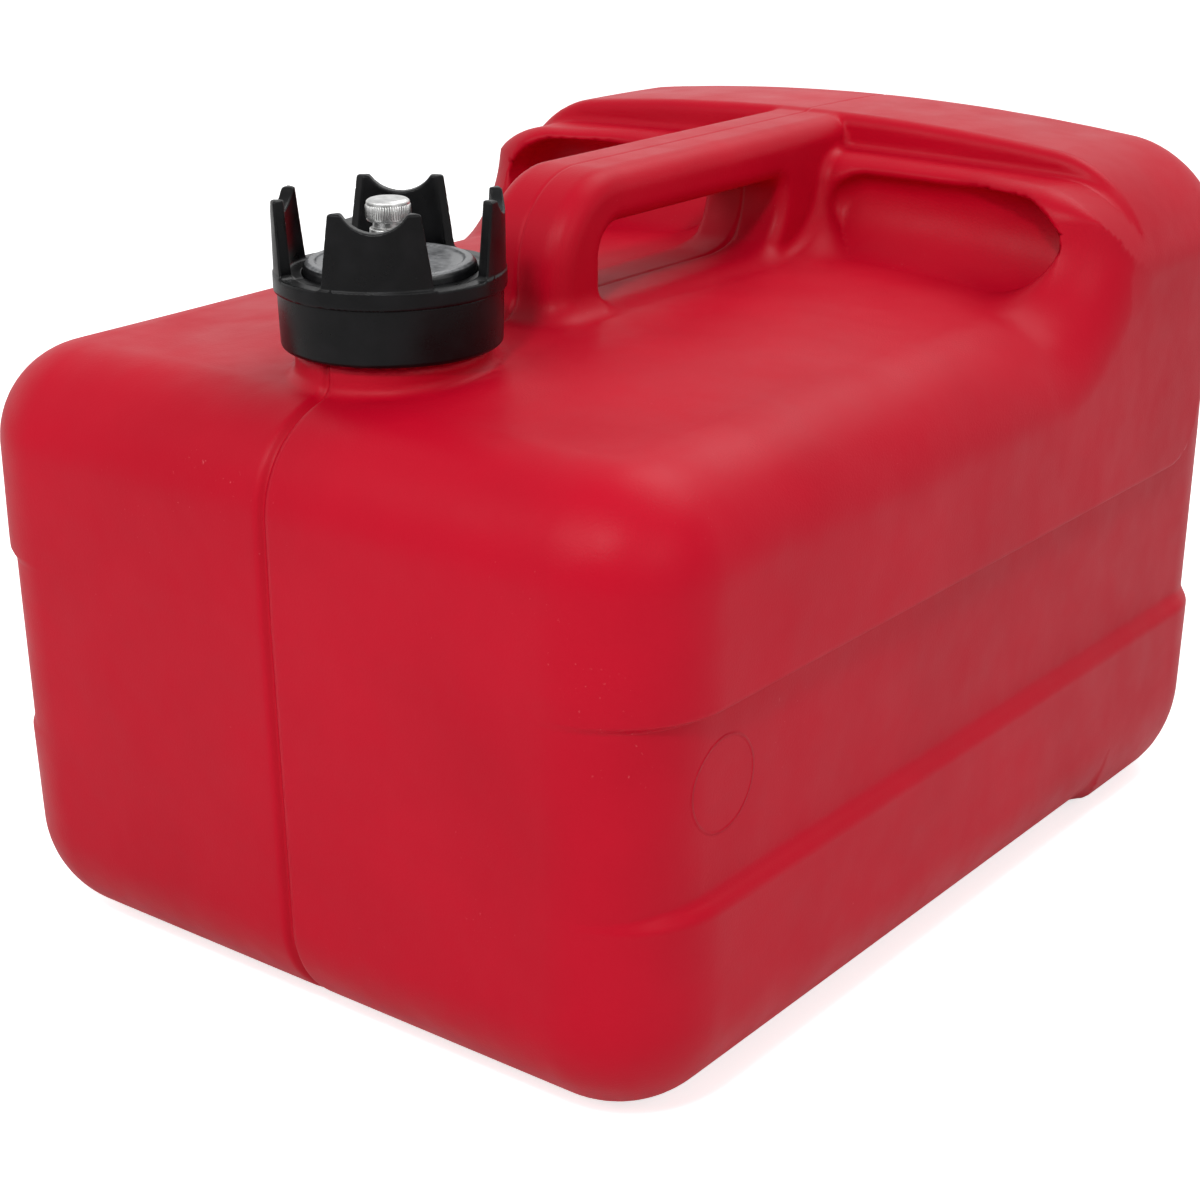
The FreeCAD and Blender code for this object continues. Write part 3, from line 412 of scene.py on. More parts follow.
def insert_mark(material, place):
    """A faint round mark left by a mould insert, low on each side near the filler end."""
    nodes, links = material.node_tree.nodes, material.node_tree.links
    flat = nodes.new("ShaderNodeVectorMath")
    flat.operation = "MULTIPLY"
    flat.inputs[1].default_value = (0, 1, 1)
    links.new(place, flat.inputs[0])
    reach = nodes.new("ShaderNodeVectorMath")
    reach.operation = "DISTANCE"
    reach.inputs[1].default_value = INSERT_CENTRE
    links.new(flat.outputs["Vector"], reach.inputs[0])
    past_ring = add_math(material, "SUBTRACT", reach.outputs["Value"], INSERT_RADIUS)
    off_ring = add_math(material, "ABSOLUTE", past_ring, 0.0)
    return add_range(material, off_ring, 0.0, INSERT_LINE, 1.0, 0.0)


def black_plastic():
    """Semi-gloss black moulding with faint flow marks and handling wear."""
    material, shader, place = new_material("black_moulded_plastic")
    links = material.node_tree.links
    wear = add_noise(material, place, 120.0, 5.0)
    tone = add_tone(material, wear, linear(5, 5, 6), linear(14, 14, 16), low=0.45, high=0.75)
    links.new(tone, shader.inputs["Base Color"])
    links.new(add_range(material, wear, 0.3, 0.7, 0.24, 0.40), shader.inputs["Roughness"])
    shader.inputs["Specular IOR Level"].default_value = 0.16
    grain = add_noise(material, place, 2500.0, 2.0)
    add_bump(material, shader, [(wear, 0.0001), (grain, 0.00002)])
    return material


def hub_plastic():
    """A black disc whose flat top is painted light grey as a painted reflection of the sky, with fine
    scratch-like streaks in it.
    """
    material, shader, place = new_material("hub_plastic")
    links = material.node_tree.links
    scratch = add_noise(material, place, 700.0, 6.0)
    painted_reflection_grey = add_tone(material, scratch, linear(92, 93, 95), linear(128, 129, 131))
    parts = material.node_tree.nodes.new("ShaderNodeSeparateXYZ")
    links.new(place, parts.inputs["Vector"])
    # Painted reflection: above this height the disc is coloured light grey, standing in for the sky
    # mirrored on a shiny black top; the sides stay black.
    on_top = add_range(material, parts.outputs["Z"], (HUB_TOP - 0.8) * MM, (HUB_TOP - 0.6) * MM, 0.0, 1.0)
    links.new(add_mix(material, on_top, linear(16, 16, 18), painted_reflection_grey), shader.inputs["Base Color"])
    links.new(add_range(material, scratch, 0.3, 0.7, 0.28, 0.45), shader.inputs["Roughness"])
    add_bump(material, shader, [(scratch, 0.00004)])
    return material


def metal(name, colour, shade, low, high, scale):
    """A bare metal whose tone and gloss vary a little."""
    material, shader, place = new_material(name)
    links = material.node_tree.links
    shader.inputs["Metallic"].default_value = 1.0
    stain = add_noise(material, place, scale, 5.0)
    links.new(add_tone(material, stain, colour, shade), shader.inputs["Base Color"])
    links.new(add_range(material, stain, 0.3, 0.7, low, high), shader.inputs["Roughness"])
    grain = add_noise(material, place, 6 * scale, 3.0)
    add_bump(material, shader, [(grain, 0.00002)])
    return material


def plain_plastic(name, colour, shade, low, high):
    """A matt plastic or rubber with a slight cloudiness."""
    material, shader, place = new_material(name)
    links = material.node_tree.links
    cloud = add_noise(material, place, 200.0, 4.0)
    links.new(add_tone(material, cloud, colour, shade), shader.inputs["Base Color"])
    links.new(add_range(material, cloud, 0.3, 0.7, low, high), shader.inputs["Roughness"])
    grain = add_noise(material, place, 1800.0, 2.0)
    add_bump(material, shader, [(grain, 0.00004)])
    return material


RED = red_polyethylene()
BLACK = black_plastic()
HUB = hub_plastic()
BRIGHT = metal("turned_bright_metal", linear(214, 214, 212), linear(178, 178, 178), 0.30, 0.46, 400.0)
STEEL = metal("stainless_steel", linear(190, 190, 188), linear(150, 150, 150), 0.25, 0.42, 500.0)
BRASS = metal("turned_brass", linear(206, 170, 96), linear(172, 136, 70), 0.22, 0.4, 400.0)
MESH_STEEL = metal("fine_steel_mesh", linear(150, 150, 150), linear(110, 110, 110), 0.35, 0.6, 2500.0)
RUBBER = plain_plastic("seal_rubber", linear(24, 24, 25), linear(36, 36, 37), 0.6, 0.8)
NATURAL = plain_plastic("natural_plastic", linear(226, 224, 216), linear(212, 210, 200), 0.4, 0.55)


# The moulded tank

CORNER_RADIUS = 31.0
DECK = 172.0
DECK_EDGE = 27.5
BASE_EDGE = 31.0
DRAFT = 2.4
DRAFT_TOP = 118.0
CROWN = 5.6
CROWN_HALF_WIDTH = 95.0
CROWN_START = -48.0
CROWN_FADE = 84.0
CROWN_SHARPNESS = 1.5

LEDGE = 206.0
LEDGE_FALL = 1.6
LEDGE_HALF_WIDTH = 90.0
BROW_FOOT = 58.7
BROW_SET_BACK = 10.0
BROW_FOOT_BEND = (98.0, 58.0)
BROW_FOOT_HEIGHT = 189.3
BROW_SLOPE = math.radians(80)
BROW_SWEEP = 20.0
BROW_NOSE = 8.0
POCKET = (17.0, 101.0)
POCKET_WALL = 77.0
POCKET_ROOF = 201.0
POCKET_CORNER = 14.0
POCKET_SWEEP = 6.0
POCKET_RIM = 2.6

BLOCK_TOP = 216.6
BLOCK_FRONT = 84.0
BLOCK_CROWN = 9.0
BLOCK_FALL = 2.0
BLOCK_SHOULDER = 33.0
BLOCK_EDGE = 4.0
BLOCK_FILLET = 2.5
BLOCK_FILLET_FADE = (2.0, 14.0)

BAND_LOW = 61.3
BAND_BEVEL = 3.2
BAND_BEVEL_REACH = 1.3
BAND_HIGH = 113.5
BAND_DEPTH = 3.7
BAND_SHIFT = 0.5
BAND_END_REACH = 1.5
BAND_MOUTH = 0.5
BAND_FLOOR_FILLET = 1.4
BAND_EDGE = 1.5
PANEL_REAR = 131.0
PANEL_TOP = 214.0
PANEL_TOP_CORNER = 8.0
PANEL_CORNER = 20.0

HANDLE_HALF = 15.5
HANDLE_TOP = 215.8
HANDLE_FRONT = -61.0
HANDLE_LEAN = 4.0
HANDLE_REAR = 96.0
HANDLE_NOSE = 24.0
HANDLE_EDGE = 7.0
WINDOW = (-40.0, 50.0, 177.1, 201.0)
WINDOW_FRONT_CORNERS = (9.0, 6.0)
WINDOW_REAR_CORNERS = (4.0, 19.0)
WINDOW_EDGE = 4.5
HANDLE_FILLET = 1.0
HANDLE_FILLET_WIDER_BELOW = 6.0
HANDLE_FILLET_LESS_BEHIND = 3.5
HANDLE_FILLET_HEIGHTS = (214.0, 204.0)
HANDLE_FILLET_BEHIND = (35.0, 55.0)

ROOT = 140.0
COLLAR_RADIUS = 25.4
COLLAR_TOP = 180.0
COLLAR_EDGE = 1.5
COLLAR_FILLET = 3.0
NECK_EDGE = 0.8
NECK_FILLET = 0.6
NECK_BORE = 20.4
NECK_FLOOR = 150.0
NECK_FLOOR_CORNER = 2.0
PAD_RADIUS = 17.5
PAD_EDGE = 1.2
PAD_FILLET = 2.5

SEAM_DEPTH = 0.6
SEAM_DEEPER_IN_FRONT = 1.0
SEAM_SHALLOWER_ON_HANDLE = 0.38
SEAM_REACH = 1.3
SEAM_WIDER_IN_FRONT = 0.7
SEAM_NARROWER_ON_HANDLE = 0.5
SEAM_FALL = 2.2
SEAM_FRONT = (-118.0, -150.0)
SEAM_HANDLE = (182.0, 190.0)


def deck_height(x, y):
    """The deck, crowned across the tank, with the crown fading towards the filler end."""
    forward = np.maximum(0, CROWN_START - y)
    crown = CROWN * (1 - (x / CROWN_HALF_WIDTH) ** 2 - (forward / CROWN_FADE) ** 2)
    return DECK + np.logaddexp(0, CROWN_SHARPNESS * crown) / CROWN_SHARPNESS


def handle_field(x, y, z):
    """Front leg, bar and rear pillar of the carrying handle."""
    rise = (z - DECK) / (HANDLE_TOP - DECK)
    front = HANDLE_FRONT + HANDLE_LEAN * rise - y
    outer = np.maximum(meet(front, z - HANDLE_TOP, HANDLE_NOSE), y - HANDLE_REAR)
    start, end, low, high = WINDOW
    top_front, foot_front = WINDOW_FRONT_CORNERS
    top_rear, foot_rear = WINDOW_REAR_CORNERS
    window = np.maximum(
        np.maximum(meet(start - y, z - high, top_front), meet(start - y, low - z, foot_front)),
        np.maximum(meet(y - end, z - high, top_rear), meet(y - end, low - z, foot_rear)),
    )
    side = np.abs(x) - HANDLE_HALF
    return np.maximum(meet(outer, side, HANDLE_EDGE), meet(-window, side, WINDOW_EDGE))


def brow_field(x, y, z):
    """The deck swept up over the brow into the ledge, with the two pockets in the ledge."""
    across = np.abs(x)
    deck = z - deck_height(x, y)
    foot = BROW_FOOT + BROW_SET_BACK * ramp(across, *BROW_FOOT_BEND)
    slope = (foot - y) * math.sin(BROW_SLOPE) + (z - BROW_FOOT_HEIGHT) * math.cos(BROW_SLOPE)
    ledge_top = z - (LEDGE - LEDGE_FALL * (x / LEDGE_HALF_WIDTH) ** 2)
    ledge = meet(ledge_top, slope, BROW_NOSE)
    inner_side, outer_side = POCKET
    sides = np.maximum(inner_side - across, across - outer_side)
    hollow = meet(meet(sides, z - POCKET_ROOF, POCKET_CORNER), y - POCKET_WALL, POCKET_SWEEP)
    return blend(deck, carve(ledge, hollow, POCKET_RIM), BROW_SWEEP)


def block_field(x, y, z, plan):
    """The block behind the ledge, with round shoulders, crowned and falling a little to the rear."""
    back = np.clip((y - BLOCK_FRONT) / (HALF_LENGTH - BLOCK_FRONT), 0, 1)
    top = z - (BLOCK_TOP - BLOCK_CROWN * (x / HALF_WIDTH) ** 2 - BLOCK_FALL * back**2)
    return meet(meet(plan, top, BLOCK_SHOULDER), BLOCK_FRONT - y, BLOCK_EDGE)


def band_field(x, y, z, plan, draft):
    """What is left by the band set into the sides, which turns up behind the panel."""
    half_width = HALF_WIDTH - BAND_DEPTH - draft
    inner = rounded_rectangle(x, y - BAND_SHIFT, half_width, HALF_LENGTH + BAND_END_REACH, CORNER_RADIUS)
    bevel = BAND_BEVEL * np.clip(-plan / BAND_DEPTH, 0, BAND_BEVEL_REACH)
    behind_panel = meet(PANEL_REAR - y, z - PANEL_TOP, PANEL_TOP_CORNER)
    strip = blend(z - BAND_HIGH, behind_panel, PANEL_CORNER)
    band = meet(BAND_LOW + bevel - z, strip, BAND_MOUTH)
    return blend(-band, inner, BAND_FLOOR_FILLET)


def with_fittings(whole, x, y, z):
    """The tank with its handle, filler neck and outlet pad, each filleted onto it."""
    above = ROOT - z
    behind = ramp(y, *HANDLE_FILLET_BEHIND)
    wider = HANDLE_FILLET_WIDER_BELOW - HANDLE_FILLET_LESS_BEHIND * behind
    fillet = HANDLE_FILLET + ramp(z, *HANDLE_FILLET_HEIGHTS) * wider
    whole = blend(whole, np.maximum(handle_field(x, y, z), above), fillet)
    from_axis = np.hypot(x, y - CAP_Y)
    collar = np.maximum(meet(from_axis - COLLAR_RADIUS, z - COLLAR_TOP, COLLAR_EDGE), above)
    whole = blend(whole, collar, COLLAR_FILLET)
    neck = np.maximum(meet(from_axis - NECK_RADIUS, z - NECK_TOP, NECK_EDGE), above)
    whole = blend(whole, neck, NECK_FILLET)
    bore = meet(from_axis - NECK_BORE, NECK_FLOOR - z, NECK_FLOOR_CORNER)
    whole = carve(whole, bore, NECK_EDGE)
    from_outlet = np.hypot(x - OUTLET_X, y - OUTLET_Y)
    pad = np.maximum(meet(from_outlet - PAD_RADIUS, z - PAD_TOP, PAD_EDGE), above)
    return blend(whole, pad, PAD_FILLET)


def seam_groove(x, y, z):
    """Depth of the seam of the two mould halves, deepest down the front and faint on the handle."""
    in_front = ramp(y, *SEAM_FRONT)
    on_handle = ramp(z, *SEAM_HANDLE)
    depth = SEAM_DEPTH + SEAM_DEEPER_IN_FRONT * in_front - SEAM_SHALLOWER_ON_HANDLE * on_handle
    reach = SEAM_REACH + SEAM_WIDER_IN_FRONT * in_front - SEAM_NARROWER_ON_HANDLE * on_handle
    return depth * np.exp(-((x / reach) ** 2) * SEAM_FALL)


def tank_field(x, y, z):
    """The whole tank, solid inside but for the top of the filler bore."""
    draft = DRAFT * np.clip(1 - z / DRAFT_TOP, 0, 1)
    plan = rounded_rectangle(x, y, HALF_WIDTH - draft, HALF_LENGTH - draft, CORNER_RADIUS)
    lower = meet(plan, brow_field(x, y, z), DECK_EDGE)
    block_fillet = BLOCK_FILLET * ramp(-plan, *BLOCK_FILLET_FADE)
    whole = blend(lower, block_field(x, y, z, plan), block_fillet)
    whole = meet(whole, -z, BASE_EDGE)
    whole = meet(whole, band_field(x, y, z, plan, draft), BAND_EDGE)
    return with_fittings(whole, x, y, z) + seam_groove(x, y, z)


def make_tank():
    """The tank's skin, with grid lines closer together where it bends most."""
    xs = mirrored_lines((0, 2.4, 0.4), (2.4, 7.2, 1.2), (7.2, 28, 1.6), (28, 84, 4.2), (84, 121.5, 1.9))
    ys = grid_lines(
        (-162.5, -128, 2.3),
        (-128, -66, 2.8),
        (-66, -30, 1.8),
        (-30, 22, 3.4),
        (22, 94, 1.7),
        (94, 138, 4.0),
        (138, 162.5, 1.7),
    )
    zs = grid_lines(
        (-1.5, 34, 2.7),
        (34, 57, 5.0),
        (57, 68, 0.9),
        (68, 108, 6.0),
        (108, 118, 0.9),
        (118, 142, 5.0),
        (142, 168, 2.4),
        (168, 219, 1.5),
    )
    points, faces, normals = mesh_of(tank_field, xs, ys, zs)
    tank = mesh_piece("tank_skin", points, faces, normals)
    return finish_piece(tank, "tank", "tank_plastic", RED, ["tank_shell"])


# Filler cap

SKIRT_WALL = 3.2
CAP_ROOF = 3.0
GRIP_WALL = 3.6
GRIP_FLOOR = 4.0
LUG_TURN = math.radians(-54.5)
GAP_BASE = 8.2
GAP_TOP = 11.0
SCOOP_DEPTH = 4.6
SCOOP_RADIUS = 9.6
SKIRT_DRAFT = 0.4
LUG_LEAN = 0.5
HUB_CLEARANCE = 0.15
HUB_BEVEL = 1.3
DISH_DEPTH = 0.5
DISH_RIM = 3.2
DISH_MIDDLE = 8.6
VENT_HOLE = 5.0


def skirt_field(x, y, z):
    """The inner cap: a skirt with a slight draft over the neck, and its roof."""
    r = np.hypot(x, y - CAP_Y)
    draft = SKIRT_DRAFT * (SKIRT_TOP - z) / (SKIRT_TOP - SKIRT_BOTTOM)
    outer = meet(r - SKIRT_RADIUS + draft, SKIRT_BOTTOM - z, 1.4)
    outer = meet(outer, z - SKIRT_TOP, 0.5)
    inner = meet(r - (SKIRT_RADIUS - SKIRT_WALL), z - (SKIRT_TOP - CAP_ROOF), 0.6)
    return np.maximum(carve(outer, inner, 0.5), VENT_HOLE - r)


def castle_field(x, y, z):
    """The grip: a ring on the skirt with four lugs, each with a scooped top."""
    v = y - CAP_Y
    r = np.hypot(x, v)
    floor_top = SKIRT_TOP + GRIP_FLOOR
    inner_wall = GRIP_RADIUS - GRIP_WALL
    base = np.maximum(meet(r - GRIP_RADIUS, SKIRT_TOP - z, 0.5), z - floor_top)
    base = meet(base, HUB_RADIUS + HUB_CLEARANCE - r, 0.4)
    rise = (z - floor_top) / (GRIP_TOP - floor_top)
    lean = LUG_LEAN * rise
    wall = meet(meet(r - GRIP_RADIUS, z - GRIP_TOP, 0.7), inner_wall + lean - r, 0.5)
    wall = np.maximum(wall, SKIRT_TOP - z)
    form = blend(base, wall, 1.0)
    for turn in (0, math.pi / 2):
        angle = LUG_TURN + math.pi / 4 + turn
        off_gap = np.abs(-x * math.sin(angle) + v * math.cos(angle))
        half = GAP_BASE + (GAP_TOP - GAP_BASE) * rise
        gap = meet(off_gap - half, floor_top - z, 1.2)
        form = carve(form, gap, 0.6)
        off_lug = -x * math.sin(LUG_TURN + turn) + v * math.cos(LUG_TURN + turn)
        scoop = np.hypot(off_lug, z - (GRIP_TOP - SCOOP_DEPTH + SCOOP_RADIUS)) - SCOOP_RADIUS
        form = carve(form, scoop, 0.5)
    return form


def hub_field(x, y, z):
    """The disc inside the grip, with a raised bevelled rim and a shallow dish round the vent."""
    r = np.hypot(x, y - CAP_Y)
    disc = meet(r - HUB_RADIUS, z - HUB_TOP, 0.4)
    bevel = (r - HUB_RADIUS + z - HUB_TOP + HUB_BEVEL) / math.sqrt(2)
    disc = meet(disc, bevel, 0.3)
    disc = np.maximum(disc, SKIRT_TOP - z)
    dish = meet(r - HUB_RADIUS + DISH_RIM, HUB_TOP - DISH_DEPTH - z, 0.3)
    disc = carve(disc, np.maximum(dish, DISH_MIDDLE - r), 0.25)
    return np.maximum(disc, VENT_HOLE - r)


def centred_lines(radius, spacing):
    """Even grid lines that reach a little past a radius on both sides of zero."""
    reach = radius + 1.2
    count = 2 * round(reach / spacing)
    return np.linspace(-reach, reach, count + 1)


def make_cap():
    """The cap's skirt, its castle-shaped grip and the disc inside the grip."""
    floor = SKIRT_TOP - 1
    skirt_heights = grid_lines((SKIRT_BOTTOM - 1, SKIRT_TOP + 1, 0.7))
    grip_heights = grid_lines((floor, GRIP_TOP + 1, 0.5))
    hub_heights = grid_lines((floor, HUB_TOP - 2, 1.5), (HUB_TOP - 2, HUB_TOP + 0.6, 0.35))
    for name, field, radius, spacing, heights, slot, material, node in (
        ("cap_skirt", skirt_field, SKIRT_RADIUS, 0.85, skirt_heights, "cap_plastic", BLACK, "cap_closure"),
        ("cap_castle", castle_field, GRIP_RADIUS, 0.55, grip_heights, "cap_plastic", BLACK, "cap_grip"),
        ("cap_disc", hub_field, HUB_RADIUS, 0.5, hub_heights, "hub_plastic", HUB, "cap_hub"),
    ):
        around = centred_lines(radius, spacing)
        points, faces, normals = mesh_of(field, around, around + CAP_Y, heights, step=0.02)
        piece = mesh_piece(name, points, faces, normals)
        finish_piece(piece, "cap", slot, material, [node])


# Turned pieces

def turned(name, profile, centre, sides=96, axis="Z"):
    """A closed surface of revolution from a closed loop of (radius, height) points, in millimetres."""
    profile = np.array(profile, dtype=float)
    angles = np.linspace(0, 2 * math.pi, sides, endpoint=False)
    rings = len(profile)
    radius = profile[:, 0][None, :]
    height = np.broadcast_to(profile[:, 1][None, :], (sides, rings))
    u = radius * np.cos(angles)[:, None]
    v = radius * np.sin(angles)[:, None]
    if axis == "Z":
        points = np.stack([u, v, height], axis=2)
    else:
        points = np.stack([v, height, u], axis=2)
    points = points.reshape(-1, 3) + np.array(centre)
    faces = []
    for i in range(sides):
        for j in range(rings):
            a = i * rings + j
            b = i * rings + (j + 1) % rings
            c = ((i + 1) % sides) * rings + (j + 1) % rings
            d = ((i + 1) % sides) * rings + j
            faces.append((a, b, c, d))
    piece = mesh_piece(name, points, faces)
    tidy_mesh(piece)
    return piece


def tidy_mesh(piece):
    """Merges doubled points, drops edges without a face and turns every face outwards."""
    shape = bmesh.new()
    shape.from_mesh(piece.data)
    bmesh.ops.remove_doubles(shape, verts=shape.verts, dist=1e-7)
    bmesh.ops.dissolve_degenerate(shape, dist=1e-7, edges=shape.edges)
    loose = [edge for edge in shape.edges if not edge.link_faces]
    bmesh.ops.delete(shape, geom=loose, context="EDGES")
    bmesh.ops.recalc_face_normals(shape, faces=shape.faces)
    shape.to_mesh(piece.data)
    shape.free()


def soften(profile, radius, steps=3):
    """A closed profile with each corner rounded, except those on the axis."""
    out = []
    count = len(profile)
    for i in range(count):
        here = np.array(profile[i], dtype=float)
        before = np.array(profile[i - 1], dtype=float) - here
        after = np.array(profile[(i + 1) % count], dtype=float) - here
        reach = min(radius, np.linalg.norm(before) * 0.45, np.linalg.norm(after) * 0.45)
        if here[0] < 1e-6:
            out.append(tuple(here))
            continue
        start = here + before / np.linalg.norm(before) * reach
        end = here + after / np.linalg.norm(after) * reach
        for k in range(steps + 1):
            t = k / steps
            point = start * (1 - t) ** 2 + here * 2 * t * (1 - t) + end * t**2
            out.append(tuple(point))
    return out


def applied(piece):
    """The piece with its modifiers made into a plain mesh and taken off."""
    graph = bpy.context.evaluated_depsgraph_get()
    mesh = bpy.data.meshes.new_from_object(piece.evaluated_get(graph))
    piece.modifiers.clear()
    piece.data = mesh
    return piece


# Node trees for what repeats

def new_tree(name, inputs):
    """A geometry tree with named inputs. Returns the tree and its group input and output nodes."""
    tree = bpy.data.node_groups.new(name, "GeometryNodeTree")
    for label, kind, value in inputs:
        socket = tree.interface.new_socket(label, in_out="INPUT", socket_type=kind)
        if value is not None:
            socket.default_value = value
    tree.interface.new_socket("Geometry", in_out="OUTPUT", socket_type="NodeSocketGeometry")
    return tree, tree.nodes.new("NodeGroupInput"), tree.nodes.new("NodeGroupOutput")


def run_tree(name, tree, values):
    """A plain mesh object made by a geometry tree with the given input values."""
    piece = new_object(name, bpy.data.meshes.new(name))
    modifier = piece.modifiers.new("form", "NODES")
    modifier.node_group = tree
    for item in tree.interface.items_tree:
        if item.item_type == "SOCKET" and item.in_out == "INPUT":
            modifier[item.identifier] = values[item.name]
    applied(piece)
    piece.data.polygons.foreach_set("use_smooth", [True] * len(piece.data.polygons))
    return piece


FLOAT = "NodeSocketFloat"
WHOLE = "NodeSocketInt"
PLACE = "NodeSocketVector"
FINISH = "NodeSocketMaterial"


def thread_tree():
    """A helical ridge: a spiral swept by a tapered section."""
    tree, given, result = new_tree(
        "thread_ridge",
        [
            ("Turns", FLOAT, 1.0),
            ("Radius", FLOAT, 0.01),
            ("Pitch", FLOAT, 0.001),
            ("Root width", FLOAT, 0.001),
            ("Crest width", FLOAT, 0.0005),
            ("Depth", FLOAT, 0.001),
            ("Start", PLACE, None),
            ("Material", FINISH, None),
        ],
    )
    nodes, links = tree.nodes, tree.links
    spiral = nodes.new("GeometryNodeCurveSpiral")
    spiral.inputs["Resolution"].default_value = 72
    links.new(given.outputs["Turns"], spiral.inputs["Rotations"])
    links.new(given.outputs["Radius"], spiral.inputs["Start Radius"])
    links.new(given.outputs["Radius"], spiral.inputs["End Radius"])
    rise = nodes.new("ShaderNodeMath")
    rise.operation = "MULTIPLY"
    links.new(given.outputs["Turns"], rise.inputs[0])
    links.new(given.outputs["Pitch"], rise.inputs[1])
    links.new(rise.outputs["Value"], spiral.inputs["Height"])
    upright = nodes.new("GeometryNodeSetCurveNormal")
    upright.mode = "Z_UP"
    links.new(spiral.outputs["Curve"], upright.inputs["Curve"])
    section = nodes.new("GeometryNodeCurvePrimitiveQuadrilateral")
    section.mode = "TRAPEZOID"
    links.new(given.outputs["Root width"], section.inputs["Bottom Width"])
    links.new(given.outputs["Crest width"], section.inputs["Top Width"])
    links.new(given.outputs["Depth"], section.inputs["Height"])
    section.inputs["Offset"].default_value = 0.0
    turned_section = nodes.new("GeometryNodeTransform")
    turned_section.inputs["Rotation"].default_value = (0, 0, math.radians(-90))
    links.new(section.outputs["Curve"], turned_section.inputs["Geometry"])
    sweep = nodes.new("GeometryNodeCurveToMesh")
    sweep.inputs["Fill Caps"].default_value = True
    links.new(upright.outputs["Curve"], sweep.inputs["Curve"])
    links.new(turned_section.outputs["Geometry"], sweep.inputs["Profile Curve"])
    move = nodes.new("GeometryNodeTransform")
    links.new(sweep.outputs["Mesh"], move.inputs["Geometry"])
    links.new(given.outputs["Start"], move.inputs["Translation"])
    finish_tree(tree, given, result, move.outputs["Geometry"])
    return tree


def finish_tree(tree, given, result, geometry):
    """The last two steps of every tree: real geometry, then its material."""
    nodes, links = tree.nodes, tree.links
    real = nodes.new("GeometryNodeRealizeInstances")
    links.new(geometry, real.inputs["Geometry"])
    paint = nodes.new("GeometryNodeSetMaterial")
    links.new(real.outputs["Geometry"], paint.inputs["Geometry"])
    links.new(given.outputs["Material"], paint.inputs["Material"])
    links.new(paint.outputs["Geometry"], result.inputs["Geometry"])


def ring_tree():
    """Copies of a pattern object, evenly placed on an upright ring and turned to face outwards."""
    tree, given, result = new_tree(
        "ring_of_copies",
        [
            ("Count", WHOLE, 8),
            ("Ring radius", FLOAT, 0.01),
            ("First angle", FLOAT, 0.0),
            ("Centre", PLACE, None),
            ("Pattern", "NodeSocketObject", None),
            ("Material", FINISH, None),
        ],
    )
    nodes, links = tree.nodes, tree.links
    ring = nodes.new("GeometryNodeMeshCircle")
    links.new(given.outputs["Count"], ring.inputs["Vertices"])
    links.new(given.outputs["Ring radius"], ring.inputs["Radius"])
    turn = nodes.new("GeometryNodeTransform")
    angle = nodes.new("ShaderNodeCombineXYZ")
    links.new(given.outputs["First angle"], angle.inputs["Z"])
    links.new(ring.outputs["Mesh"], turn.inputs["Geometry"])
    links.new(angle.outputs["Vector"], turn.inputs["Rotation"])
    place = nodes.new("GeometryNodeInputPosition")
    facing = nodes.new("FunctionNodeAlignRotationToVector")
    facing.axis = "X"
    facing.pivot_axis = "Z"
    links.new(place.outputs["Position"], facing.inputs["Vector"])
    pattern = nodes.new("GeometryNodeObjectInfo")
    links.new(given.outputs["Pattern"], pattern.inputs["Object"])
    copies = nodes.new("GeometryNodeInstanceOnPoints")
    links.new(turn.outputs["Geometry"], copies.inputs["Points"])
    links.new(pattern.outputs["Geometry"], copies.inputs["Instance"])
    links.new(facing.outputs["Rotation"], copies.inputs["Rotation"])
    move = nodes.new("GeometryNodeTransform")
    links.new(copies.outputs["Instances"], move.inputs["Geometry"])
    links.new(given.outputs["Centre"], move.inputs["Translation"])
    finish_tree(tree, given, result, move.outputs["Geometry"])
    return tree


def row_tree():
    """Copies of a pattern object in a row along Y."""
    tree, given, result = new_tree(
        "row_of_copies",
        [
            ("Count", WHOLE, 4),
            ("First", PLACE, None),
            ("Step", PLACE, None),
            ("Pattern", "NodeSocketObject", None),
            ("Material", FINISH, None),
        ],
    )
    nodes, links = tree.nodes, tree.links
    row = nodes.new("GeometryNodeMeshLine")
    links.new(given.outputs["Count"], row.inputs["Count"])
    links.new(given.outputs["First"], row.inputs["Start Location"])
    links.new(given.outputs["Step"], row.inputs["Offset"])
    pattern = nodes.new("GeometryNodeObjectInfo")
    links.new(given.outputs["Pattern"], pattern.inputs["Object"])
    copies = nodes.new("GeometryNodeInstanceOnPoints")
    links.new(row.outputs["Mesh"], copies.inputs["Points"])
    links.new(pattern.outputs["Geometry"], copies.inputs["Instance"])
    finish_tree(tree, given, result, copies.outputs["Instances"])
    return tree


def joined(name, parts):
    """Several objects as one piece."""
    shape = bmesh.new()
    for part in parts:
        shape.from_mesh(part.data)
    mesh = bpy.data.meshes.new(name)
    shape.to_mesh(mesh)
    shape.free()
    mesh.polygons.foreach_set("use_smooth", [True] * len(mesh.polygons))
    piece = new_object(name, mesh)
    for part in parts:
        bpy.data.objects.remove(part)
    return piece


THREADS = thread_tree()
RING = ring_tree()
ROW = row_tree()


THREAD_DEPTH = 1.3
THREAD_ROOT = 2.4
THREAD_CREST = 1.2
THREAD_SINK = 0.1
THREAD_START = COLLAR_TOP + 1.6


def make_thread(name, turns, radius, start, root, crest, material):
    """One helical ridge round the cap's axis. Sizes are in millimetres."""
    thread = run_tree(
        name,
        THREADS,
        {
            "Turns": turns,
            "Radius": radius * MM,
            "Pitch": CAP_PITCH * MM,
            "Root width": root * MM,
            "Crest width": crest * MM,
            "Depth": THREAD_DEPTH * MM,
            "Start": (0, CAP_Y * MM, start * MM),
            "Material": material,
        },
    )
    tidy_mesh(thread)
    return thread


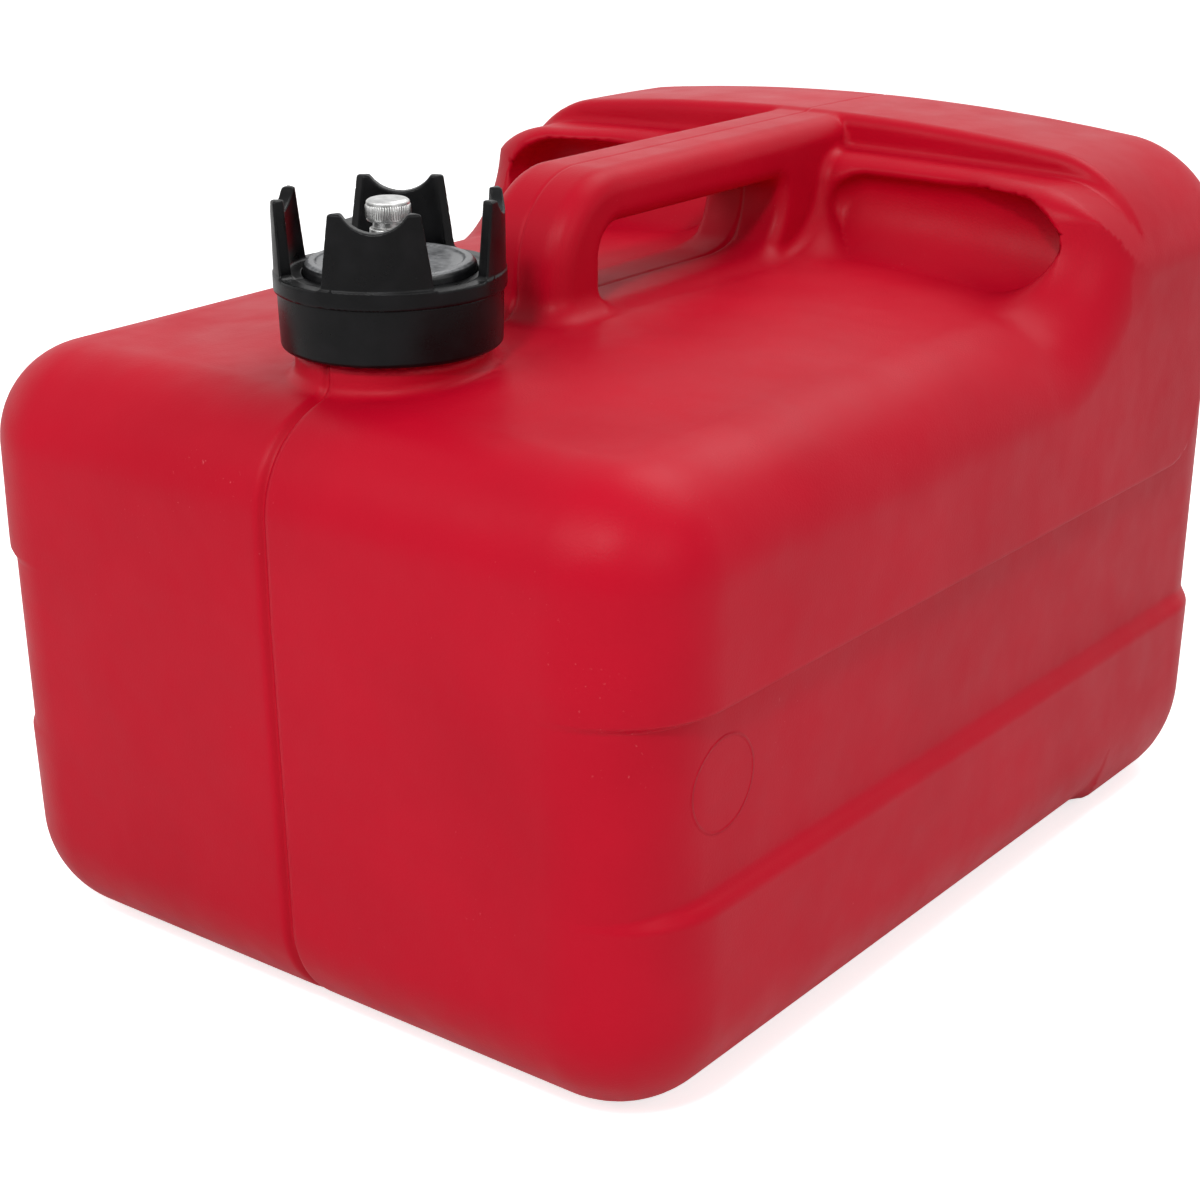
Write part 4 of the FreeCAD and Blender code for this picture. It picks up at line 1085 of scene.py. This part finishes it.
def make_threads():
    """The coarse thread on the neck, and the one in the cap that runs between its turns."""
    reach = THREAD_DEPTH / 2 - THREAD_SINK
    on_neck = NECK_RADIUS + reach
    in_skirt = SKIRT_RADIUS - SKIRT_WALL - reach
    neck = make_thread("neck_thread", 1.3, on_neck, THREAD_START, THREAD_ROOT, THREAD_CREST, RED)
    finish_piece(neck, "tank", "tank_plastic", RED)
    between = THREAD_START + CAP_PITCH / 2
    cap = make_thread("cap_thread", 1.1, in_skirt, between, THREAD_CREST, THREAD_ROOT, BLACK)
    finish_piece(cap, "cap", "cap_plastic", BLACK)


# Vent

SEAT_RADIUS = 4.9
SEAT_FLANGE = 6.6
SEAT_BORE = 2.62
SEAT_FLANGE_HEIGHT = 1.2
SEAT_RECESS_RADIUS = 3.52
SEAT_RECESS_DEPTH = 1.02
HEAD_HEIGHT = 5.6
VENT_NECK = 4.0
STEM_RADIUS = 2.47
KNOB_GAP = 0.01
KNURLS = 54
KNURL_WIDTH = 0.62
KNURL_DEPTH = 0.5
KNURL_SINK = 0.28


def knurl_pattern(length, width, depth):
    """One ridge of the knurl: a long low wedge with tapered ends, standing along Z."""
    half = length / 2
    taper = depth * 1.2
    section = [(-depth, -width / 2), (-depth, width / 2), (0.0, 0.0)]
    points = []
    for z, grow in ((-half, 0.0), (-half + taper, 1.0), (half - taper, 1.0), (half, 0.0)):
        for out, side in section:
            points.append(((out if out < 0 else -depth * (1 - grow)), side, z))
    faces = [(0, 1, 2), (9, 11, 10)]
    for k in range(3):
        for i in range(3):
            a, b = 3 * k + i, 3 * k + (i + 1) % 3
            faces.append((a, b, b + 3, a + 3))
    pattern = mesh_piece("knurl_pattern", points, faces)
    tidy_mesh(pattern)
    return pattern


def make_vent():
    """The metal tube in the cap, and the knurled screw that runs in it."""
    recess_floor = SEAT_TOP - SEAT_RECESS_DEPTH
    flange_top = HUB_TOP + SEAT_FLANGE_HEIGHT
    seat_profile = [
        (SEAT_BORE, SEAT_BOTTOM),
        (SEAT_RADIUS, SEAT_BOTTOM),
        (SEAT_RADIUS, HUB_TOP),
        (SEAT_FLANGE, HUB_TOP),
        (SEAT_FLANGE, flange_top),
        (SEAT_RADIUS, flange_top),
        (SEAT_RADIUS, SEAT_TOP),
        (SEAT_RECESS_RADIUS, SEAT_TOP),
        (SEAT_RECESS_RADIUS, recess_floor),
        (SEAT_BORE, recess_floor),
    ]
    seat = turned("vent_tube", soften(seat_profile, 0.3), (0, CAP_Y, 0))
    finish_piece(seat, "cap", "turned_metal", BRIGHT, ["vent_seat"])

    head_low = KNOB_TOP - HEAD_HEIGHT
    neck_low = SEAT_TOP + KNOB_GAP
    core = KNOB_RADIUS - KNURL_SINK
    body = [
        (0.0, STEM_BOTTOM),
        (STEM_RADIUS, STEM_BOTTOM),
        (STEM_RADIUS, neck_low),
        (VENT_NECK, neck_low),
        (VENT_NECK, head_low),
        (KNOB_RADIUS - 0.5, head_low),
        (core, head_low + 0.4),
        (core, KNOB_TOP - 1.0),
        (core - 0.1, KNOB_TOP - 0.55),
        (core - 0.9, KNOB_TOP),
        (0.0, KNOB_TOP),
    ]
    knob = turned("knob_body", soften(body, 0.35), (0, CAP_Y, 0), sides=72)
    length = HEAD_HEIGHT - 1.5
    pattern = knurl_pattern(length, KNURL_WIDTH, KNURL_DEPTH)
    knurl = run_tree(
        "knob_knurl",
        RING,
        {
            "Count": KNURLS,
            "Ring radius": KNOB_RADIUS * MM,
            "First angle": 0.0,
            "Centre": (0, CAP_Y * MM, (head_low + 0.45 + length / 2) * MM),
            "Pattern": pattern,
            "Material": BRIGHT,
        },
    )
    bpy.data.objects.remove(pattern)
    screw = joined("vent_knob_screw", [knob, knurl])
    finish_piece(screw, "vent_knob", "turned_metal", BRIGHT, ["vent_screw"])


# Fuel outlet

TOWER_RADIUS = 8.0
TOWER_DOME = 1.6
CONNECTOR_FACE = TOWER_RADIUS + 1.0
CONNECTOR_SEAT = CONNECTOR_FACE + 1.2
STUB_RADIUS = 4.0
STUB_LENGTH = 5.0
STUB_CLEARANCE = 0.02
PICKUP_SOCKET = 4.22
FLANGE_THICKNESS = 3.4
BOSS_RADIUS = 4.9
SCREW_CIRCLE = 12.6
SCREW_HEAD = 2.9
SCREW_SHANK = 1.6
SCREW_CLEARANCE = 0.15
SCREW_DEPTH = 6.9
DOME_DROP = 2.2
RECESS_DEPTH = 1.1
RECESS_HALF_WIDTH = 0.38
RECESS_REACH = 1.65
HEX_LENGTH = 5.0
HEX_HALF = 5.5
BARB_RADIUS = 3.4
BARB_BORE = 2.0
BARB_COUNT = 4
BARB_SPACING = 3.3
BARB_END = CONNECTOR_SEAT + HEX_LENGTH + 15.0
CONNECTOR_TURN = math.radians(45)


def flange_field(x, y, z):
    """Round flange, domed tower and the boss towards the hose connector, all filleted together."""
    u, v = x - OUTLET_X, y - OUTLET_Y
    r = np.hypot(u, v)
    flange_top = FLANGE_BOTTOM + FLANGE_THICKNESS
    plate = meet(meet(r - FLANGE_RADIUS, z - flange_top, 1.0), FLANGE_BOTTOM - z, 0.3)
    tower = meet(r - TOWER_RADIUS, z - TOWER_TOP, TOWER_DOME)
    tower = np.maximum(tower, FLANGE_BOTTOM - z)
    along = v * math.cos(CONNECTOR_TURN) - u * math.sin(CONNECTOR_TURN)
    beside = u * math.cos(CONNECTOR_TURN) + v * math.sin(CONNECTOR_TURN)
    boss = meet(np.hypot(beside, z - BARB_Z) - BOSS_RADIUS, along - CONNECTOR_FACE, 0.5)
    boss = np.maximum(boss, -along)
    form = blend(blend(plate, tower, 1.6), boss, 1.0)
    for side_u, side_v in ((1, 0), (0, 1), (-1, 0), (0, -1)):
        from_screw = np.hypot(u - side_u * SCREW_CIRCLE, v - side_v * SCREW_CIRCLE)
        form = carve(form, from_screw - SCREW_SHANK - SCREW_CLEARANCE, 0.25)
    from_stub = np.hypot(beside, z - BARB_Z) - STUB_RADIUS - STUB_CLEARANCE
    socket = np.maximum(from_stub, CONNECTOR_FACE - STUB_LENGTH - along)
    form = carve(form, socket, 0.3)
    pickup = np.maximum(r - PICKUP_SOCKET, z - flange_top + 0.6)
    return np.maximum(form, -pickup)


def screw_head(radius, height):
    """A pan head with a cross recess, and its shank, standing on Z = 0."""
    def field(x, y, z):
        r = np.hypot(x, y)
        dome = np.sqrt(x**2 + y**2 + (z + DOME_DROP) ** 2) - (height + DOME_DROP)
        head = meet(meet(r - radius, dome, 0.5), -z, 0.2)
        shank = np.maximum(r - SCREW_SHANK, z - 0.5)
        shank = np.maximum(shank, -SCREW_DEPTH - z)
        head = np.minimum(head, shank)
        depth = RECESS_DEPTH - 0.25 * r
        arm = np.minimum(
            np.maximum(np.abs(x) - RECESS_HALF_WIDTH, np.abs(y) - RECESS_REACH),
            np.maximum(np.abs(y) - RECESS_HALF_WIDTH, np.abs(x) - RECESS_REACH),
        )
        return carve(head, np.maximum(arm, height - depth - z), 0.12)

    around = centred_lines(radius, 0.2)
    heights = grid_lines((-7.4, -0.4, 0.8), (-0.4, height + 0.4, 0.2))
    points, faces, normals = mesh_of(field, around, around, heights, step=0.01)
    return mesh_piece("screw_pattern", points, faces, normals)


def make_outlet():
    """The flange, its four screws and the hose connector."""
    across = np.linspace(-FLANGE_RADIUS - 1, FLANGE_RADIUS + 1, 73)
    xs, ys = across + OUTLET_X, across + OUTLET_Y
    zs = grid_lines((FLANGE_BOTTOM - 1, TOWER_TOP + 1, 0.5))
    points, faces, normals = mesh_of(flange_field, xs, ys, zs, step=0.02)
    flange = mesh_piece("pickup_flange", points, faces, normals)
    finish_piece(flange, "tank", "cap_plastic", BLACK, ["outlet_flange"])

    flange_top = FLANGE_BOTTOM + FLANGE_THICKNESS
    head = screw_head(SCREW_HEAD, SCREW_TOP - flange_top)
    screws = run_tree(
        "flange_screws",
        RING,
        {
            "Count": 4,
            "Ring radius": SCREW_CIRCLE * MM,
            "First angle": 0.0,
            "Centre": (OUTLET_X * MM, OUTLET_Y * MM, flange_top * MM),
            "Pattern": head,
            "Material": STEEL,
        },
    )
    bpy.data.objects.remove(head)
    finish_piece(screws, "tank", "screw_steel", STEEL, ["outlet_screws"])
    make_connector()


def make_connector():
    """The brass connector: a stub in the boss, a chamfered hexagon, and a stem with hose barbs."""
    centre = (0.0, 0.0, BARB_Z)
    hex_end = CONNECTOR_SEAT + HEX_LENGTH
    core = BARB_RADIUS - 0.65
    stem = [
        (BARB_BORE, CONNECTOR_FACE - STUB_LENGTH),
        (STUB_RADIUS, CONNECTOR_FACE - STUB_LENGTH),
        (STUB_RADIUS, CONNECTOR_SEAT + 0.5),
        (core, CONNECTOR_SEAT + 0.5),
        (core, BARB_END - 0.5),
        (core - 0.4, BARB_END),
        (BARB_BORE, BARB_END),
    ]
    parts = [turned("barb_stem", soften(stem, 0.2), centre, sides=48, axis="Y")]

    def hexagon(x, y, z):
        u, v = x, z - BARB_Z
        turns = (math.pi / 2, math.pi / 6, -math.pi / 6)
        flats = [np.abs(u * math.cos(a) + v * math.sin(a)) for a in turns]
        sides = np.maximum(np.maximum(flats[0], flats[1]), flats[2]) - HEX_HALF
        r = np.hypot(u, v)
        middle = (CONNECTOR_SEAT + hex_end) / 2
        ends = np.abs(y - middle) - HEX_LENGTH / 2
        chamfer = (r - HEX_HALF - 0.25 + 0.5 * ends) / 1.12
        solid = meet(np.maximum(sides, chamfer), ends, 0.15)
        return np.maximum(solid, 2.5 - r)

    across = np.linspace(-HEX_HALF - 1.2, HEX_HALF + 1.2, 39)
    lengths = grid_lines((CONNECTOR_SEAT - 0.6, hex_end + 0.6, 0.3))
    points, faces, _ = mesh_of(hexagon, across, lengths, across + BARB_Z, step=0.01)
    parts.append(mesh_piece("hexagon", points, faces))

    ridge = [
        (core - 0.2, 0.0),
        (core + 0.1, 0.0),
        (BARB_RADIUS, 2.1),
        (BARB_RADIUS, 2.4),
        (core - 0.2, 2.6),
    ]
    mirrored = [(r, -h) for r, h in reversed(ridge)]
    pattern = turned("barb_pattern", soften(mirrored, 0.12), (0, 0, 0), sides=40, axis="Y")
    rings = run_tree(
        "barb_rings",
        ROW,
        {
            "Count": BARB_COUNT,
            "First": (0, (BARB_END - 0.7) * MM, BARB_Z * MM),
            "Step": (0, -BARB_SPACING * MM, 0),
            "Pattern": pattern,
            "Material": BRASS,
        },
    )
    bpy.data.objects.remove(pattern)
    parts.append(rings)
    connector = joined("hose_barb", parts)
    onto_outlet = Matrix.Translation((OUTLET_X * MM, OUTLET_Y * MM, 0))
    connector.data.transform(onto_outlet @ Matrix.Rotation(CONNECTOR_TURN, 4, "Z"))
    finish_piece(connector, "tank", "brass", BRASS, ["hose_connector"])


# CAD nodes that keep their own shape

KEPT = {
    "cap_gasket": RUBBER,
    "vent_nut": BRIGHT,
    "vent_ring": RUBBER,
    "vent_clip": STEEL,
    "outlet_gasket": RUBBER,
    "outlet_inserts": BRASS,
    "pickup_tube": NATURAL,
    "strainer_frame": NATURAL,
    "strainer_mesh": MESH_STEEL,
    "connector_ring": RUBBER,
}


def dress_kept_nodes():
    """Gives each CAD node that shows as it is its own material."""
    for node, material in KEPT.items():
        piece = frame["nodes"][node]
        if not piece.material_slots:
            piece.data.materials.append(material)
        for place in piece.material_slots:
            place.material = material


# Camera, floor and light

CAMERA_PLACE = (0.40817, -0.54969, 0.33066)
CAMERA_YAW = 37.76
CAMERA_PITCH = 20.37
CAMERA_ROLL = -0.29
CAMERA_LENS = 70.76


def make_camera():
    """The camera fitted to the photograph."""
    data = bpy.data.cameras.new("photo_camera")
    data.sensor_width = 36.0
    data.lens = CAMERA_LENS
    camera = new_object("photo_camera", data)
    turn = (
        Matrix.Rotation(math.radians(CAMERA_YAW), 4, "Z")
        @ Matrix.Rotation(math.radians(90 - CAMERA_PITCH), 4, "X")
        @ Matrix.Rotation(math.radians(CAMERA_ROLL), 4, "Z")
    )
    camera.matrix_world = Matrix.Translation(CAMERA_PLACE) @ turn
    bpy.context.scene.camera = camera


def add_panel(name, place, target, width, height, power):
    """A soft rectangular lamp that faces a target."""
    data = bpy.data.lights.new(name, "AREA")
    data.shape = "RECTANGLE"
    data.size = width
    data.size_y = height
    data.energy = power
    lamp = new_object(name, data)
    direction = Vector(target) - Vector(place)
    turn = direction.to_track_quat("-Z", "Y").to_matrix().to_4x4()
    lamp.matrix_world = Matrix.Translation(place) @ turn


def seen_directly(tree):
    """Is 1 for camera, mirrored and transmitted rays, and 0 for the light that falls on the object."""
    path = tree.nodes.new("ShaderNodeLightPath")
    share = path.outputs["Is Camera Ray"]
    for kind in ("Is Glossy Ray", "Is Transmission Ray"):
        either = tree.nodes.new("ShaderNodeMath")
        either.operation = "MAXIMUM"
        tree.links.new(share, either.inputs[0])
        tree.links.new(path.outputs[kind], either.inputs[1])
        share = either.outputs["Value"]
    return share


FILL_STRENGTH = 0.32
BACKDROP_STRENGTH = 1.0


def add_background(tree, strength):
    """A white background of the given strength."""
    glow = tree.nodes.new("ShaderNodeBackground")
    glow.inputs["Color"].default_value = (1, 1, 1, 1)
    glow.inputs["Strength"].default_value = strength
    return glow.outputs["Background"]


def make_world():
    """A dim white room that looks plain white where it is seen directly."""
    world = bpy.data.worlds.new("studio")
    world.use_nodes = True
    tree = world.node_tree
    tree.nodes.clear()
    mix = tree.nodes.new("ShaderNodeMixShader")
    tree.links.new(seen_directly(tree), mix.inputs["Fac"])
    tree.links.new(add_background(tree, FILL_STRENGTH), mix.inputs[1])
    tree.links.new(add_background(tree, BACKDROP_STRENGTH), mix.inputs[2])
    out = tree.nodes.new("ShaderNodeOutputWorld")
    tree.links.new(mix.outputs["Shader"], out.inputs["Surface"])
    bpy.context.scene.world = world


def make_floor():
    """A pale floor that takes the tank's shadow and blends into the white backdrop."""
    size = 6.0
    corners = [(-size, -size, 0), (size, -size, 0), (size, size, 0), (-size, size, 0)]
    mesh = bpy.data.meshes.new("floor")
    mesh.from_pydata(corners, [], [(0, 1, 2, 3)])
    floor = new_object("floor", mesh)
    material = bpy.data.materials.new("pale_floor")
    material.use_nodes = True
    tree = material.node_tree
    shader = tree.nodes["Principled BSDF"]
    shader.inputs["Base Color"].default_value = (0.86, 0.86, 0.86, 1)
    shader.inputs["Roughness"].default_value = 0.9
    glow = tree.nodes.new("ShaderNodeEmission")
    glow.inputs["Strength"].default_value = 0.7
    lit = tree.nodes.new("ShaderNodeAddShader")
    mix = tree.nodes.new("ShaderNodeMixShader")
    out = tree.nodes["Material Output"]
    tree.links.new(shader.outputs["BSDF"], lit.inputs[0])
    tree.links.new(glow.outputs["Emission"], lit.inputs[1])
    path = tree.nodes.new("ShaderNodeLightPath")
    tree.links.new(path.outputs["Is Camera Ray"], mix.inputs["Fac"])
    tree.links.new(shader.outputs["BSDF"], mix.inputs[1])
    tree.links.new(lit.outputs["Shader"], mix.inputs[2])
    tree.links.new(mix.outputs["Shader"], out.inputs["Surface"])
    mesh.materials.append(material)


def make_lights():
    """A key lamp from behind, two fills, and a small one for the highlights on the front corners."""
    aim = (0, 0, 0.11)
    add_panel("key", (0.2, 0.8, 1.5), aim, 1.2, 0.9, 13)
    add_panel("fill_right", (1.5, -0.5, 1.0), aim, 0.8, 0.8, 5)
    add_panel("fill_front", (-0.35, -1.45, 1.25), aim, 1.0, 0.8, 11.5)
    add_panel("spot", (0.45, -1.0, 1.1), aim, 0.14, 0.14, 6)


make_tank()
make_cap()
make_threads()
make_vent()
make_outlet()
dress_kept_nodes()
make_camera()
make_world()
make_floor()
make_lights()

bpy.context.scene.view_settings.view_transform = "Standard"
